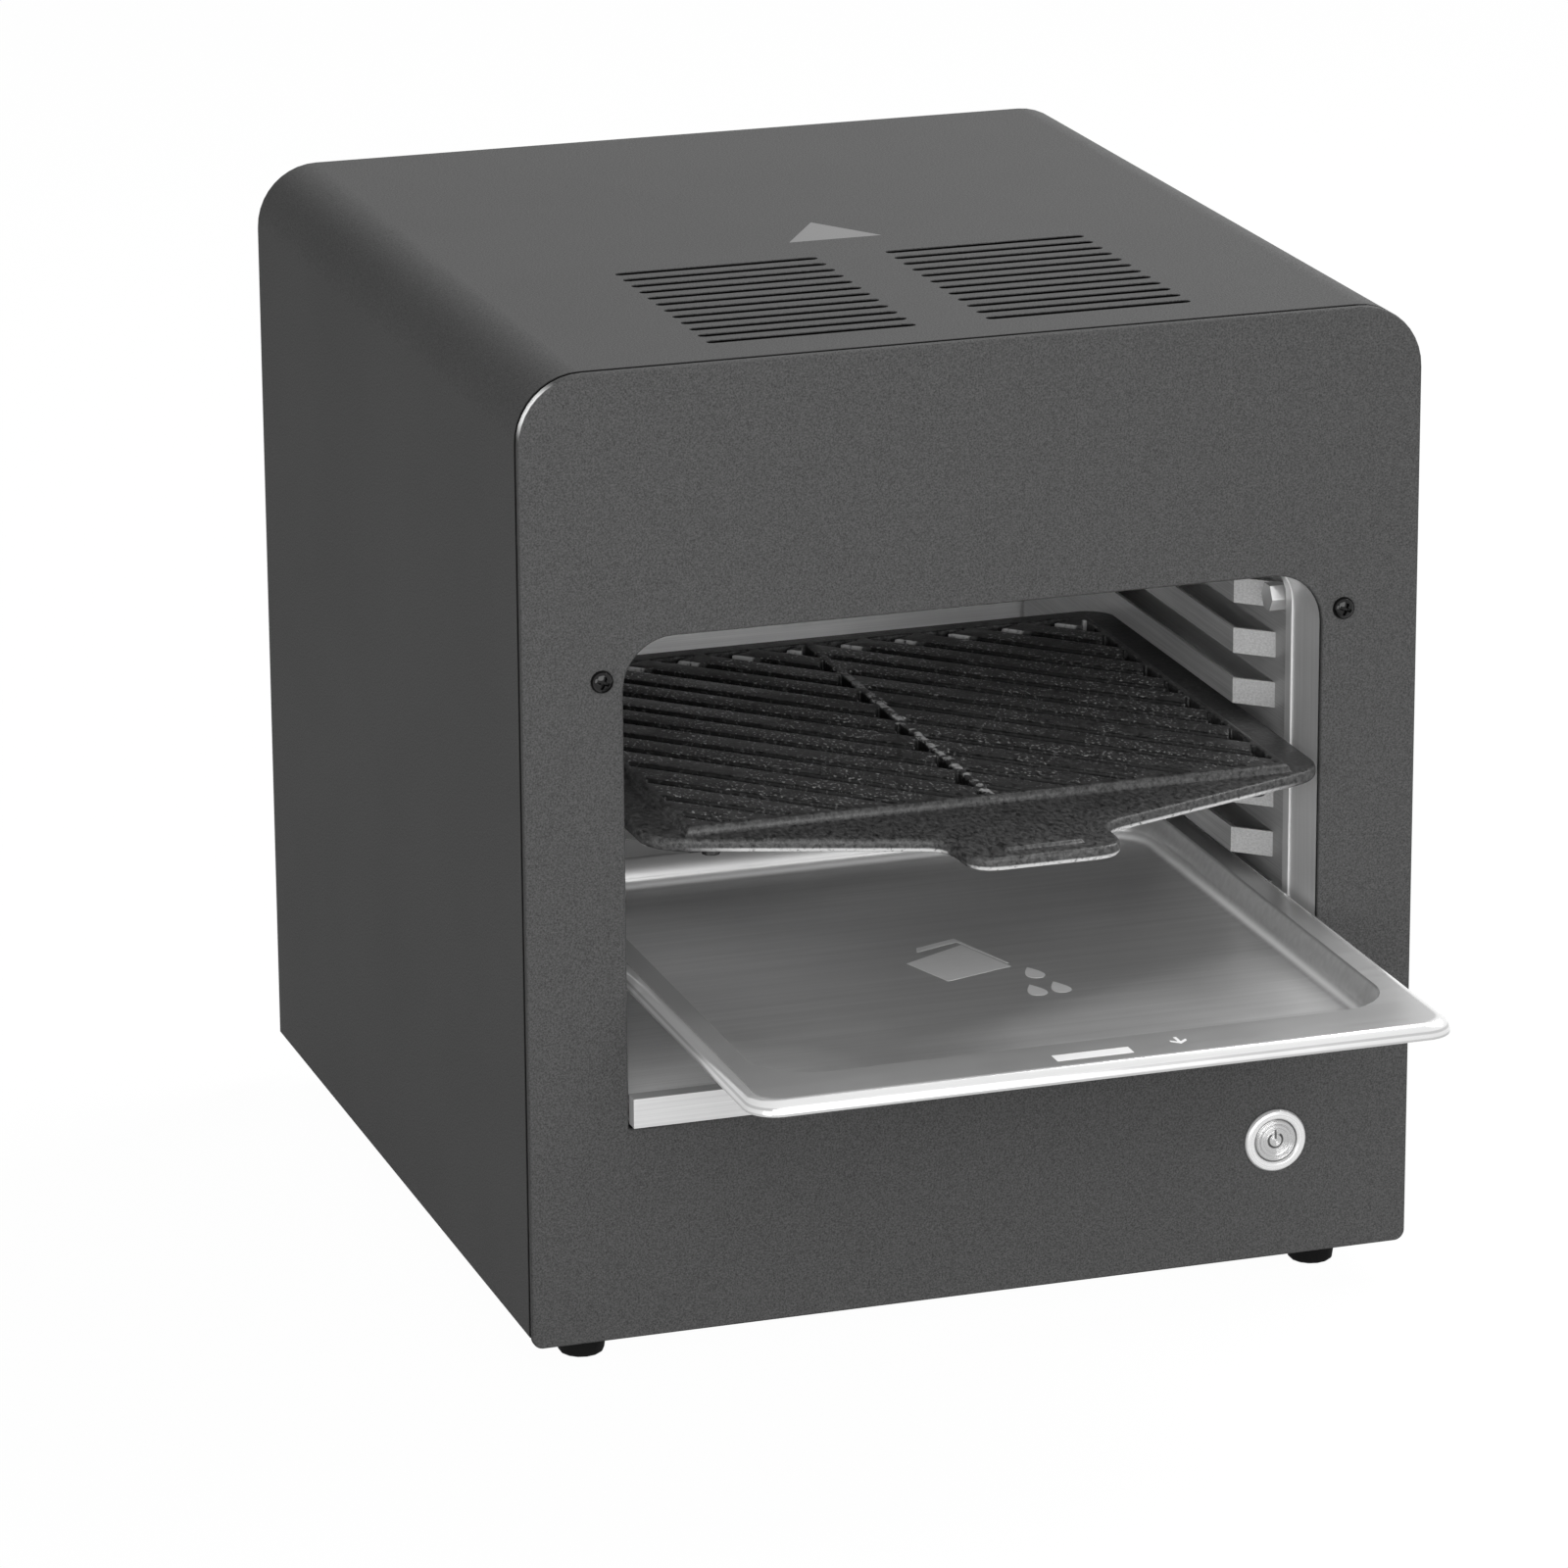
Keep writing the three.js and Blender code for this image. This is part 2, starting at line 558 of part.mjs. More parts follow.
function mirrored(geometry) {
  const flipped = geometry.clone().scale(-1, 1, 1);
  const index = flipped.index.array;
  for (let i = 0; i < index.length; i += 3) {
    const spare = index[i];
    index[i] = index[i + 1];
    index[i + 1] = spare;
  }
  return flipped;
}

// The bolt holds the rack off the wall: a hexagon head and washer inside, a sleeve behind the sheet
function rackBoltGeometry() {
  const washer = rackBolt.headHeight / 5;
  const face = -washer - rackBolt.headHeight;
  const sleeveEnd = wallHalf - rackHalf - clearance.fit;
  const radius = rackBolt.shankRadius;
  const behind = sheet.rack + clearance.slide;
  const core = turned([
    [0, -washer], [rackBolt.washerRadius, -washer], [rackBolt.washerRadius, -clearance.slide],
    [radius, -clearance.slide],
    [radius, behind], [rackBolt.washerRadius, behind], [rackBolt.washerRadius, sleeveEnd], [0, sleeveEnd],
  ], 'x', 10);
  const head = prism(hexagon(rackBolt.headFlats), 'x', face, -washer / 2);
  return join(core, head);
}

// Heating elements and what carries them
function heaterGeometry(side) {
  const stations = [];
  const legX = (leg) => side * (heater.first + leg * 2 * heaterBend);
  stations.push(new THREE.Vector3(legX(0), heaterTail, heaterZ));
  for (let leg = 0; leg < heaterLegs - 1; leg += 1) {
    const forward = leg % 2 === 0;
    const y = forward ? liner.front + heater.frontInset : backFace - heater.backInset;
    const middle = (legX(leg) + legX(leg + 1)) / 2;
    for (let i = 0; i <= heaterTurnSteps; i += 1) {
      const angle = (Math.PI * i) / heaterTurnSteps;
      const x = middle - side * heaterBend * Math.cos(angle);
      const swing = heaterBend * Math.sin(angle);
      stations.push(new THREE.Vector3(x, forward ? y - swing : y + swing, heaterZ));
    }
  }
  stations.push(new THREE.Vector3(legX(heaterLegs - 1), heaterTail, heaterZ));
  return tube(new StationPath(stations), heater.radius, 8, stations.length - 1);
}

function bracketGeometry() {
  const top = hoodTop - sheet.liner;
  const half = hoodHalf - bracket.sideInset;
  const face = bracket.thickness / 2;
  const slab = block(-half, half, -face, face, heaterZ - bracket.drop, top);
  const holes = [-1, 1].flatMap((side) => Array.from({ length: heaterLegs }, (_, leg) => rod(
    'y', heater.radius + clearance.fit, -bracket.thickness, bracket.thickness,
    side * (heater.first + leg * 2 * heaterBend), heaterZ, 5,
  )));
  return cut(slab, ...holes);
}

function bushingGeometry() {
  const bore = heater.radius + clearance.fit;
  return turned([
    [bore, -bushing.reach], [bushing.radius, -bushing.reach], [bushing.radius, sheet.liner],
    [bushing.flangeRadius, sheet.liner], [bushing.flangeRadius, sheet.liner + bushing.flange],
    [bore, sheet.liner + bushing.flange], [bore, -bushing.reach],
  ], 'y', 12);
}

// Cast-iron plate, in its own frame: the origin is the middle of its rear edge at the rim's underside
function plateOutline() {
  const path = new THREE.Path();
  const lean = plate.noseRun / (plateHalf - plate.neckHalf);
  path.moveTo(0, -tabFront);
  path.lineTo(plate.tabHalf - plate.tabRadius, -tabFront);
  path.quadraticCurveTo(plate.tabHalf, -tabFront, plate.tabHalf, -tabFront + plate.tabRadius);
  const rise = (plate.tabReach - plate.tabRadius) / 2;
  path.bezierCurveTo(
    plate.tabHalf, -tabFront + plate.tabRadius + rise,
    plate.neckHalf - rise, -neckFront - lean * rise, plate.neckHalf, -neckFront,
  );
  const run = plate.cornerRadius;
  path.lineTo(plateHalf - run, -cornerFront - lean * run);
  path.quadraticCurveTo(plateHalf, -cornerFront, plateHalf, -cornerFront + run);
  path.lineTo(plateHalf, -plate.rearRadius);
  path.absarc(plateHalf - plate.rearRadius, -plate.rearRadius, plate.rearRadius, 0, Math.PI / 2, false);
  path.lineTo(0, 0);
  const right = path.getPoints(6);
  const left = right.slice(1, -1).reverse().map((point) => new THREE.Vector2(-point.x, point.y));
  return new THREE.Shape([...right, ...left]);
}

function eased(outline, bottom, top, edge, segments) {
  const geometry = new THREE.ExtrudeGeometry(outline, {
    depth: top - bottom - 2 * edge, bevelThickness: edge, bevelSize: edge, bevelOffset: -edge,
    bevelSegments: segments, curveSegments: 6,
  });
  return geometry.translate(0, 0, bottom + edge);
}

function rectangle(x0, x1, y0, y1) {
  return new THREE.Shape([
    new THREE.Vector2(x0, y0), new THREE.Vector2(x1, y0), new THREE.Vector2(x1, y1), new THREE.Vector2(x0, y1),
  ]);
}

// Grooves run at 45 degrees along x + y = c. Where one meets the right or the rear side of its half,
// the rib beside it is cut back to a slanting end, which leaves a three-sided pocket.
function grooveCutters() {
  const top = plate.thickness + ribs.rise;
  const floor = top - ribs.grooveDepth;
  const above = top + clearance.overrun;
  const lines = Math.ceil((2 * ribHalf + ribFront) / ribs.pitch);
  const half = ribs.grooveTop / 2;
  const flare = half + ((half - ribs.grooveFloor / 2) * clearance.overrun) / ribs.grooveDepth;
  const section = new THREE.Shape([
    new THREE.Vector2(-ribs.grooveFloor / 2, floor), new THREE.Vector2(ribs.grooveFloor / 2, floor),
    new THREE.Vector2(flare, above), new THREE.Vector2(-flare, above),
  ]);
  const reach = ribHalf + ribFront;
  const edge = half * Math.SQRT2;
  const cutback = ribs.pitch - 2 * edge;
  const depth = cutback / (1 + pocketLeanShare);
  const halves = [[-ribHalf, -ribs.spine / 2], [ribs.spine / 2, ribHalf]];
  const front = -ribFront;
  const back = -ribs.rearInset;
  const tools = [];
  for (const [left, right] of halves) {
    const zone = toSolid(block(left, right, front, back, floor, above));
    for (let k = -lines; k <= lines; k += 1) {
      const c = ribs.shift + k * ribs.pitch;
      const atRight = c - right;
      const atBack = c - back;
      if (atRight > back + cutback + ribs.pitch || c - left < front - edge) continue;
      const groove = prism(section, 'y', -reach, reach).rotateZ(Math.PI / 4).translate(c / 2, c / 2, 0);
      tools.push(toSolid(groove).intersect(zone));
      if (atRight + edge < back && atRight + edge + cutback > front) {
        const y = atRight + edge;
        const corner = new THREE.Shape([
          new THREE.Vector2(right, y), new THREE.Vector2(right, y + cutback),
          new THREE.Vector2(right - pocketLeanShare * depth, y + cutback - depth),
        ]);
        tools.push(toSolid(prism(corner, 'z', floor, above)).intersect(zone));
      }
      if (atBack + edge < right && atBack + edge + cutback > left) {
        const x = atBack + edge;
        const corner = new THREE.Shape([
          new THREE.Vector2(x, back), new THREE.Vector2(x + cutback - depth, back - pocketLeanShare * depth),
          new THREE.Vector2(x + cutback, back),
        ]);
        tools.push(toSolid(prism(corner, 'z', floor, above)).intersect(zone));
      }
    }
  }
  return tools;
}

function plateGeometry() {
  const rim = eased(plateOutline(), 0, plate.thickness, plate.edge, 2);
  const outer = ribHalf + ribs.bead;
  const back = -ribs.rearInset + ribs.bead;
  const front = -ribFront - ribs.bead;
  const field = rectangle(-outer, outer, front, back);
  const top = plate.thickness + ribs.rise;
  const raised = eased(field, -plate.panDrop, top, ribs.beadSlope, 1);
  const barFront = -tabFront + bar.frontInset;
  const grip = block(
    -bar.halfWidth, bar.halfWidth, barFront, barFront + bar.depth, plate.thickness / 2, plate.thickness + bar.rise,
  );
  const pegY = front + peg.radius + peg.frontInset;
  const pegs = [-1, 1].map((side) => rod(
    'z', peg.radius, -plate.panDrop - peg.height, 0, side * (plateHalf - peg.sideInset), pegY, 6,
  ));
  const body = toSolid(join(rim, raised, grip, ...pegs));
  return toGeometry(grooveCutters().reduce((whole, tool) => whole.subtract(tool), body));
}

// Drip tray, in its own frame: the origin is the middle of its rear edge at the rim's lower edge
function trayRing(side, end, radius, z) {
  const half = trayHalf - side;
  const front = -trayDepth + end;
  const back = -end;
  const corners = [[half - radius, back - radius, 0], [-half + radius, back - radius, 1],
    [-half + radius, front + radius, 2], [half - radius, front + radius, 3]];
  return corners.flatMap(([x, y, quarter]) => Array.from({ length: trayCornerSteps + 1 }, (_, i) => {
    const angle = (quarter + i / trayCornerSteps) * (Math.PI / 2);
    return new THREE.Vector3(x + radius * Math.cos(angle), y + radius * Math.sin(angle), z);
  }));
}

function traySkin(offset) {
  const rings = [];
  const top = tray.height - offset;
  const floor = tray.height - tray.basinDepth - offset;
  const bend = tray.bendRadius + offset;
  const lip = tray.edgeRadius - offset;
  const wallSide = tray.sideFlange - offset;
  const wallEnd = tray.endFlange - offset;
  const inward = tray.wallLean + tray.edgeRadius;
  const arcSteps = 4;
  for (let i = 0; i <= arcSteps; i += 1) {
    const angle = ((Math.PI / 2) * i) / arcSteps;
    const run = inward + tray.bendRadius - tray.bendRadius * Math.sin(angle) + offset * (1 - Math.sin(angle));
    const z = floor + bend * (1 - Math.cos(angle));
    rings.push(trayRing(wallSide + run, wallEnd + run, tray.basinRadius - run + offset, z));
  }
  const cornerRun = tray.basinRadius - tray.edgeRadius;
  rings.push(trayRing(wallSide + tray.edgeRadius, wallEnd + tray.edgeRadius, cornerRun, top - lip));
  rings.push(trayRing(wallSide, wallEnd, tray.basinRadius, top));
  for (let i = arcSteps; i >= 0; i -= 1) {
    const angle = ((Math.PI / 2) * i) / arcSteps;
    const run = offset + (tray.rimRun - offset) * (1 - Math.cos(angle));
    rings.push(trayRing(run, run, tray.cornerRadius - run / 2, top * Math.sin(angle)));
  }
  return rings;
}

const trayGeometry = () => loft([...traySkin(0), ...traySkin(sheet.tray).reverse()]);

// Push button, about its own axis, with its height towards the front of the cabinet
function bezelGeometry() {
  const { boreRadius, barrelRadius, bezelRadius, bezelHeight, barrelDepth } = button;
  const ease = bezelHeight / 3;
  return turned([
    [boreRadius, -barrelDepth], [barrelRadius, -barrelDepth], [barrelRadius, 0], [bezelRadius, 0],
    [bezelRadius, bezelHeight / 2], [bezelRadius - ease, bezelHeight - ease / 3],
    [bezelRadius - 2 * ease, bezelHeight],
    [boreRadius + ease, bezelHeight], [boreRadius, bezelHeight - ease], [boreRadius, -barrelDepth],
  ], 'front', 20);
}

function capGeometry() {
  const radius = button.boreRadius - clearance.fit;
  const { capRim, capRise, capDish, capDepth } = button;
  return turned([
    [0, -capDepth], [radius, -capDepth], [radius, capRise - capRim / 2], [radius - capRim / 3, capRise],
    [radius - capRim, capRise], [radius - 2 * capRim, capRise - capDish], [0, capRise - capDish],
  ], 'front', 20);
}

function switchGeometry() {
  const radius = button.boreRadius - clearance.fit;
  const front = -button.capDepth - button.travel - clearance.fit;
  const tail = -button.barrelDepth - button.bodyTail;
  const body = turned([[0, tail], [radius, tail], [radius, front], [0, front]], 'front', 16);
  const blades = [-1, 1].map((side) => block(
    side * button.bladeSide - button.bladeThickness / 2, side * button.bladeSide + button.bladeThickness / 2,
    -tail - clearance.overrun, -tail + button.bladeLength, -button.bladeWidth / 2, button.bladeWidth / 2,
  ));
  return join(body, ...blades);
}

function screwGeometry() {
  const { headRadius, headHeight, shankRadius, shankLength, crossWidth } = screw;
  const body = turned([
    [0, -shankLength], [shankRadius, -shankLength], [shankRadius, 0], [headRadius, 0],
    [headRadius, headHeight / 3], [headRadius - headHeight / 4, headHeight - headHeight / 5],
    [headRadius - headHeight / 2, headHeight], [0, headHeight],
  ], 'front', 16);
  const reach = headRadius * crossReachShare;
  const low = -headHeight - clearance.overrun;
  const high = -headHeight / 3;
  const cross = [
    block(-reach, reach, low, high, -crossWidth / 2, crossWidth / 2),
    block(-crossWidth / 2, crossWidth / 2, low, high, -reach, reach),
  ];
  return cut(body, ...cross);
}

function footGeometry() {
  const top = cover.lift + sheet.cover;
  const { topRadius, bottomRadius, edge, wellRadius, wellDepth } = foot;
  return turned([
    [0, wellDepth], [wellRadius, wellDepth], [wellRadius, 0], [bottomRadius - edge, 0], [bottomRadius, edge],
    [topRadius, top - wellDepth], [topRadius, top], [0, top],
  ], 'z', 14);
}

function glandGeometry() {
  const { boreRadius, threadRadius, flats, hexHeight, domeHeight, tail } = gland;
  const corner = flats / 2;
  const core = turned([
    [boreRadius, -tail], [threadRadius, -tail], [threadRadius, 0], [corner, 0], [corner, hexHeight],
    [corner - domeHeight / 2, hexHeight + domeHeight / 2],
    [boreRadius + domeHeight / 2, hexHeight + domeHeight],
    [boreRadius, hexHeight + domeHeight], [boreRadius, -tail],
  ], 'y', 16);
  const hex = prism(hexagon(flats, corner - domeHeight / 4), 'z', 0, hexHeight, 5).rotateX(-Math.PI / 2);
  return join(core, hex);
}

const ringNut = (flats, bore, height) => prism(hexagon(flats, bore), 'z', 0, height, 7).rotateX(-Math.PI / 2);

function terminalGeometry() {
  const body = block(
    -terminal.width / 2, terminal.width / 2, -terminal.depth / 2, terminal.depth / 2, 0, terminal.height,
  );
  const step = terminal.width / terminalWells;
  const wells = Array.from({ length: terminalWells }, (_, i) => rod(
    'z', terminal.wellRadius, terminal.height - terminal.wellDepth, terminal.height + clearance.overrun,
    (i - (terminalWells - 1) / 2) * step, 0, 5,
  ));
  return cut(body, ...wells);
}

const thermostatGeometry = () => turned([
  [0, -thermostat.height - thermostat.cap], [thermostat.radius, -thermostat.height - thermostat.cap],
  [thermostat.radius, -thermostat.cap], [thermostat.capRadius, -thermostat.cap], [thermostat.capRadius, 0], [0, 0],
], 'z', 16);

// Inner wires: hand-chosen routes from the terminal block
function wireGeometry(points) {
  const route = new THREE.CatmullRomCurve3(points.map((point) => new THREE.Vector3(...point)));
  return tube(route, wire.radius, wireSides, wireSteps);
}

const terminalTop = baseTop + terminal.height;
const wireStart = (well) => {
  const x = terminalSpot.x + (well * terminal.width) / terminalWells;
  const heights = [wire.radius - terminal.wellDepth, wire.rise / 2, wire.rise];
  return heights.map((height) => [x, terminalSpot.y, terminalTop + height]);
};
const behindBack = backFace + sheet.liner + bushing.flange;
const switchEnd = frontFace + button.barrelDepth + button.bodyTail + button.bladeLength;
const heaterRoute = (side) => {
  const riser = side * (heater.first + 2 * bushing.flangeRadius);
  const clear = behindBack + bushing.reach;
  return [
    ...wireStart(side),
    [terminalSpot.x + side * terminal.width, (terminalSpot.y + clear) / 2, terminalTop + 3 * wire.rise],
    [riser, clear, floorBottom], [riser, clear, heaterZ - 2 * hood.rise],
    [side * (heater.first + bushing.flangeRadius), heaterTail + wire.rise / 2, heaterZ - bushing.flangeRadius],
    [side * heater.first, heaterTail + wire.rise / 2, heaterZ],
    [side * heater.first, heaterTail + clearance.fit, heaterZ],
  ];
};
const routes = {
  wire_switch: [
    ...wireStart(0), [terminalSpot.x / 2, terminalSpot.y / 2, terminalTop + terminal.height],
    [thermostat.x / 2, -terminalSpot.y / 2, button.z],
    [buttonX + button.bladeSide, switchEnd + terminal.height, button.z],
    [buttonX + button.bladeSide, switchEnd + clearance.fit, button.z],
  ],
  wire_heater_left: heaterRoute(-1),
  wire_heater_right: heaterRoute(1),
};

// Assembly
const model = new THREE.Group();

function add(name, geometry, material, parent = model) {
  const mesh = new THREE.Mesh(toGeometry(toSolid(geometry)), material);
  mesh.name = name;
  parent.add(mesh);
  return mesh;
}

add('wrap_cover', coverGeometry(), looks.coated());
add('front_panel', panelGeometry(), looks.coated());
add('front_frame', frameGeometry(), looks.zinc());
add('rear_panel', rearGeometry(), looks.zinc());
add('base_pan', baseGeometry(), looks.zinc());
add('opening_trim', trimGeometry(), looks.stainless());
add('sill', sillGeometry(), looks.stainless());
add('chamber_floor', floorGeometry(), looks.stainless());
add('chamber_back', backGeometry(), looks.stainless());
add('reflector_hood', hoodGeometry(), looks.stainless());
add('front_baffle', baffleGeometry(), looks.stainless());

for (const [suffix, side] of [['left', -1], ['right', 1]]) {
  add(`chassis_rail_${suffix}`, railGeometry(side), looks.zinc());
  const wall = add(`chamber_wall_${suffix}`, wallGeometry(), looks.stainless());
  wall.position.x = side > 0 ? wallHalf : -wallOuter;
  add(`rack_${suffix}`, rackGeometry(side), looks.stainless());
  for (const [end, y] of Object.entries(boltSpots)) {
    const bolt = add(`rack_bolt_${end}_${suffix}`, rackBoltGeometry(), looks.stainless());
    bolt.position.set(side * rackHalf, y, rackTop - rackBolt.drop);
    bolt.rotation.z = side > 0 ? 0 : Math.PI;
  }
  add(`heater_${suffix}`, heaterGeometry(side), looks.heater());
  const inner = side > 0 ? wallOuter : -wallOuter - blanket.thickness;
  add(`side_blanket_${suffix}`, block(
    inner, inner + blanket.thickness, liner.front + blanket.endInset, liner.back - blanket.endInset,
    floorTop + blanket.floorGap, wallTop - blanket.headGap,
  ), looks.blanket());
  const frontScrew = add(`front_screw_${suffix}`, screwGeometry(), looks.blackSteel());
  frontScrew.position.set(side * screwSpot.x, frontFace, screwSpot.z);
  for (const [end, y] of [['front', -footSpot.y], ['rear', footSpot.y]]) {
    const pad = add(`foot_${end}_${suffix}`, footGeometry(), looks.rubber());
    pad.position.set(side * footSpot.x, y, 0);
  }
}

const bracketSpots = { front: liner.front + bracket.frontInset, rear: backFace - bracket.rearInset };
for (const [end, y] of Object.entries(bracketSpots)) {
  const strap = add(`heater_bracket_${end}`, bracketGeometry(), looks.stainless());
  strap.position.y = y;
}
heaterSpots.forEach((x, i) => {
  const sleeve = add(`heater_bushing_${i + 1}`, bushingGeometry(), looks.ceramic());
  sleeve.position.set(x, backFace, heaterZ);
});
const blanketHalf = hoodHalf - blanket.sideInset;
const blanketBack = liner.back - blanket.topInset;
const blanketTop = hoodTop + blanket.thickness;
add('top_blanket', block(
  -blanketHalf, blanketHalf, liner.front + blanket.topInset, blanketBack, hoodTop, blanketTop,
), looks.blanket());
add('heat_shield', block(
  -blanketHalf, blanketHalf, liner.front, blanketBack, blanketTop, blanketTop + sheet.liner,
), looks.zinc());

const buttonGroup = new THREE.Group();
buttonGroup.position.set(buttonX, frontFace, button.z);
model.add(buttonGroup);
add('button_bezel', bezelGeometry(), looks.stainless(), buttonGroup);
add('button_cap', capGeometry(), looks.stainless(), buttonGroup);
add('switch_body', switchGeometry(), looks.plastic(), buttonGroup);
const buttonNut = add(
  'button_nut', ringNut(button.nutFlats, button.barrelRadius + clearance.fit, button.nutHeight),
  looks.zinc(), buttonGroup,
);
buttonNut.position.y = panel.thickness + sheet.cover;

const inletGroup = new THREE.Group();
inletGroup.position.set(glandX, rearFace, gland.z);
model.add(inletGroup);
add('power_gland', glandGeometry(), looks.plastic(), inletGroup);
const lockNut = add(
  'gland_nut', ringNut(glandNut.flats, gland.threadRadius + clearance.fit, glandNut.height),
  looks.plastic(), inletGroup,
);
lockNut.position.y = -sheet.cover - glandNut.height;

const terminalBlock = add('terminal_block', terminalGeometry(), looks.ceramic());
terminalBlock.position.set(terminalSpot.x, terminalSpot.y, baseTop);
const limiter = add('limit_thermostat', thermostatGeometry(), looks.plastic());
limiter.position.set(thermostat.x, thermostatY, floorBottom);
for (const [name, points] of Object.entries(routes)) add(name, wireGeometry(points), looks.plastic());

const plateGroup = new THREE.Group();
plateGroup.position.set(0, backFace - plate.stopGap - plate.pull, runnerTop(plateLevel) + clearance.slide);
model.add(plateGroup);
add('grill_plate', plateGeometry(), looks.iron(), plateGroup);

const trayGroup = new THREE.Group();
const trayRear = backFace - tray.stopGap - tray.pull;
trayGroup.position.set(0, trayRear, runnerTop(trayLevel) + clearance.slide);
model.add(trayGroup);
add('drip_tray', trayGeometry(), looks.stainless(), trayGroup);

// The origin is the middle of the whole grill's outline on the worktop, with the tray pulled out
model.position.y = -(rearEdge + trayRear - trayDepth) / 2;

export default model;
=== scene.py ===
import math
import bmesh
import bpy
import numpy as np
from mathutils import Matrix, Vector


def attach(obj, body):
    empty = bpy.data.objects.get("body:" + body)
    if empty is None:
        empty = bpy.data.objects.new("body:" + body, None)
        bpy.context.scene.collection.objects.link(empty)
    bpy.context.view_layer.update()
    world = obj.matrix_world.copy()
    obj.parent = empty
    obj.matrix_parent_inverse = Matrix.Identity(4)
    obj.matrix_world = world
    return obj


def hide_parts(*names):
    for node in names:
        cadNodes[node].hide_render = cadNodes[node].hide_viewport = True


# Countertop infrared steak grill: finishes and fine forms over the CAD frame. Metres, X right, Y back, Z up.
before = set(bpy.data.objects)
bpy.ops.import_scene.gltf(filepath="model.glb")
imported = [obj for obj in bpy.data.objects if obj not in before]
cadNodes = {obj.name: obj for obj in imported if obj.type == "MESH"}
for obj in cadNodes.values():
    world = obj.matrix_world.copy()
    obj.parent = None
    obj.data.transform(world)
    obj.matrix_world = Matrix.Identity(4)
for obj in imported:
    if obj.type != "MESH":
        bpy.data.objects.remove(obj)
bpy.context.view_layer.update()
scene = bpy.context.scene
mm = 0.001
print("frame loaded with", len(cadNodes), "CAD nodes")

# Camera, solved from the cabinet's edges in the photo
cameraView = {
    "place": (-0.9136, -2.6462, 1.0625), "azimuth": -18.29, "elevation": 17.35, "roll": -0.36,
    "lens": 169.92, "sensor": 36.0,
}


# The camera looks against the back vector, with its right side level before a small roll
def makeCamera(view):
    azimuth, elevation, roll = (math.radians(view[key]) for key in ("azimuth", "elevation", "roll"))
    reach = math.cos(elevation)
    back = Vector((math.sin(azimuth) * reach, -math.cos(azimuth) * reach, math.sin(elevation)))
    level = Vector((0, 0, 1)).cross(back).normalized()
    upright = back.cross(level)
    right = math.cos(roll) * level + math.sin(roll) * upright
    up = math.cos(roll) * upright - math.sin(roll) * level
    data = bpy.data.cameras.new("camera")
    data.lens = view["lens"]
    data.sensor_width = view["sensor"]
    camera = bpy.data.objects.new("camera", data)
    camera.matrix_world = Matrix.Translation(view["place"]) @ Matrix((right, up, back)).transposed().to_4x4()
    scene.collection.objects.link(camera)
    scene.camera = camera


makeCamera(cameraView)
print("camera set")


# Small writers for node trees: a value is another node's socket or a plain number, vector or colour, and a new node
# goes to the given tree or to the given socket's
def feed(socket, value):
    if isinstance(value, bpy.types.NodeSocket):
        socket.id_data.links.new(value, socket)
    else:
        socket.default_value = value


def put(where, kind, values=None, **settings):
    node = where.id_data.nodes.new("ShaderNode" + kind)
    for key, value in settings.items():
        setattr(node, key, value)
    for key, value in (values or {}).items():
        feed(node.inputs[key], value)
    return node


def firstSocket(values):
    return next(value for value in values if isinstance(value, bpy.types.NodeSocket))


def maths(operation, *values, clamp=False):
    inputs = dict(enumerate(values))
    return put(firstSocket(values), "Math", inputs, operation=operation, use_clamp=clamp).outputs[0]


def vectorMaths(operation, *values, output=0):
    return put(firstSocket(values), "VectorMath", dict(enumerate(values)), operation=operation).outputs[output]


def scaled(vector, factor):
    return put(vector, "VectorMath", {0: vector, "Scale": factor}, operation="SCALE").outputs[0]


def axesOf(vector):
    return put(vector, "SeparateXYZ", {"Vector": vector}).outputs


def attribute(spot, name):
    return put(spot, "Attribute", attribute_name=name).outputs["Fac"]


def faceNormal(spot):
    return put(spot, "NewGeometry").outputs["Normal"]


def mixColor(factor, first, second):
    return put(factor, "Mix", {0: factor, 6: first, 7: second}, data_type="RGBA").outputs[2]


def noise(vector, scale, detail=2.0, roughness=0.5):
    values = {"Vector": vector, "Scale": scale, "Detail": detail, "Roughness": roughness}
    return put(vector, "TexNoise", values).outputs["Fac"]


# A noise that runs from nought to one is moved to run about zero
def aboutZero(value):
    return maths("SUBTRACT", value, 0.5)


# A smooth step between two results while the value crosses a range
def remap(value, fromLow, fromHigh, toLow=0.0, toHigh=1.0):
    values = {"Value": value, "From Min": fromLow, "From Max": fromHigh, "To Min": toLow, "To Max": toHigh}
    return put(value, "MapRange", values, interpolation_type="SMOOTHSTEP").outputs["Result"]


def product(first, *others):
    for value in others:
        first = maths("MULTIPLY", first, value)
    return first


# The sum of values, each times its weight
def weighted(*pairs):
    total, *others = [product(*pair) for pair in pairs]
    for part in others:
        total = maths("ADD", total, part)
    return total


# The product of smooth steps, one for each value and the name of its range
def gate(ranges, *pairs):
    return product(*(remap(value, *ranges[key]) for value, key in pairs))


# Brightens or darkens a colour by a share that varies about zero
def shade(color, share):
    return scaled(color, maths("ADD", share, 1.0))


def grey(level, warm=0.0):
    return (level * (1 + warm), level, level * (1 - warm), 1.0)


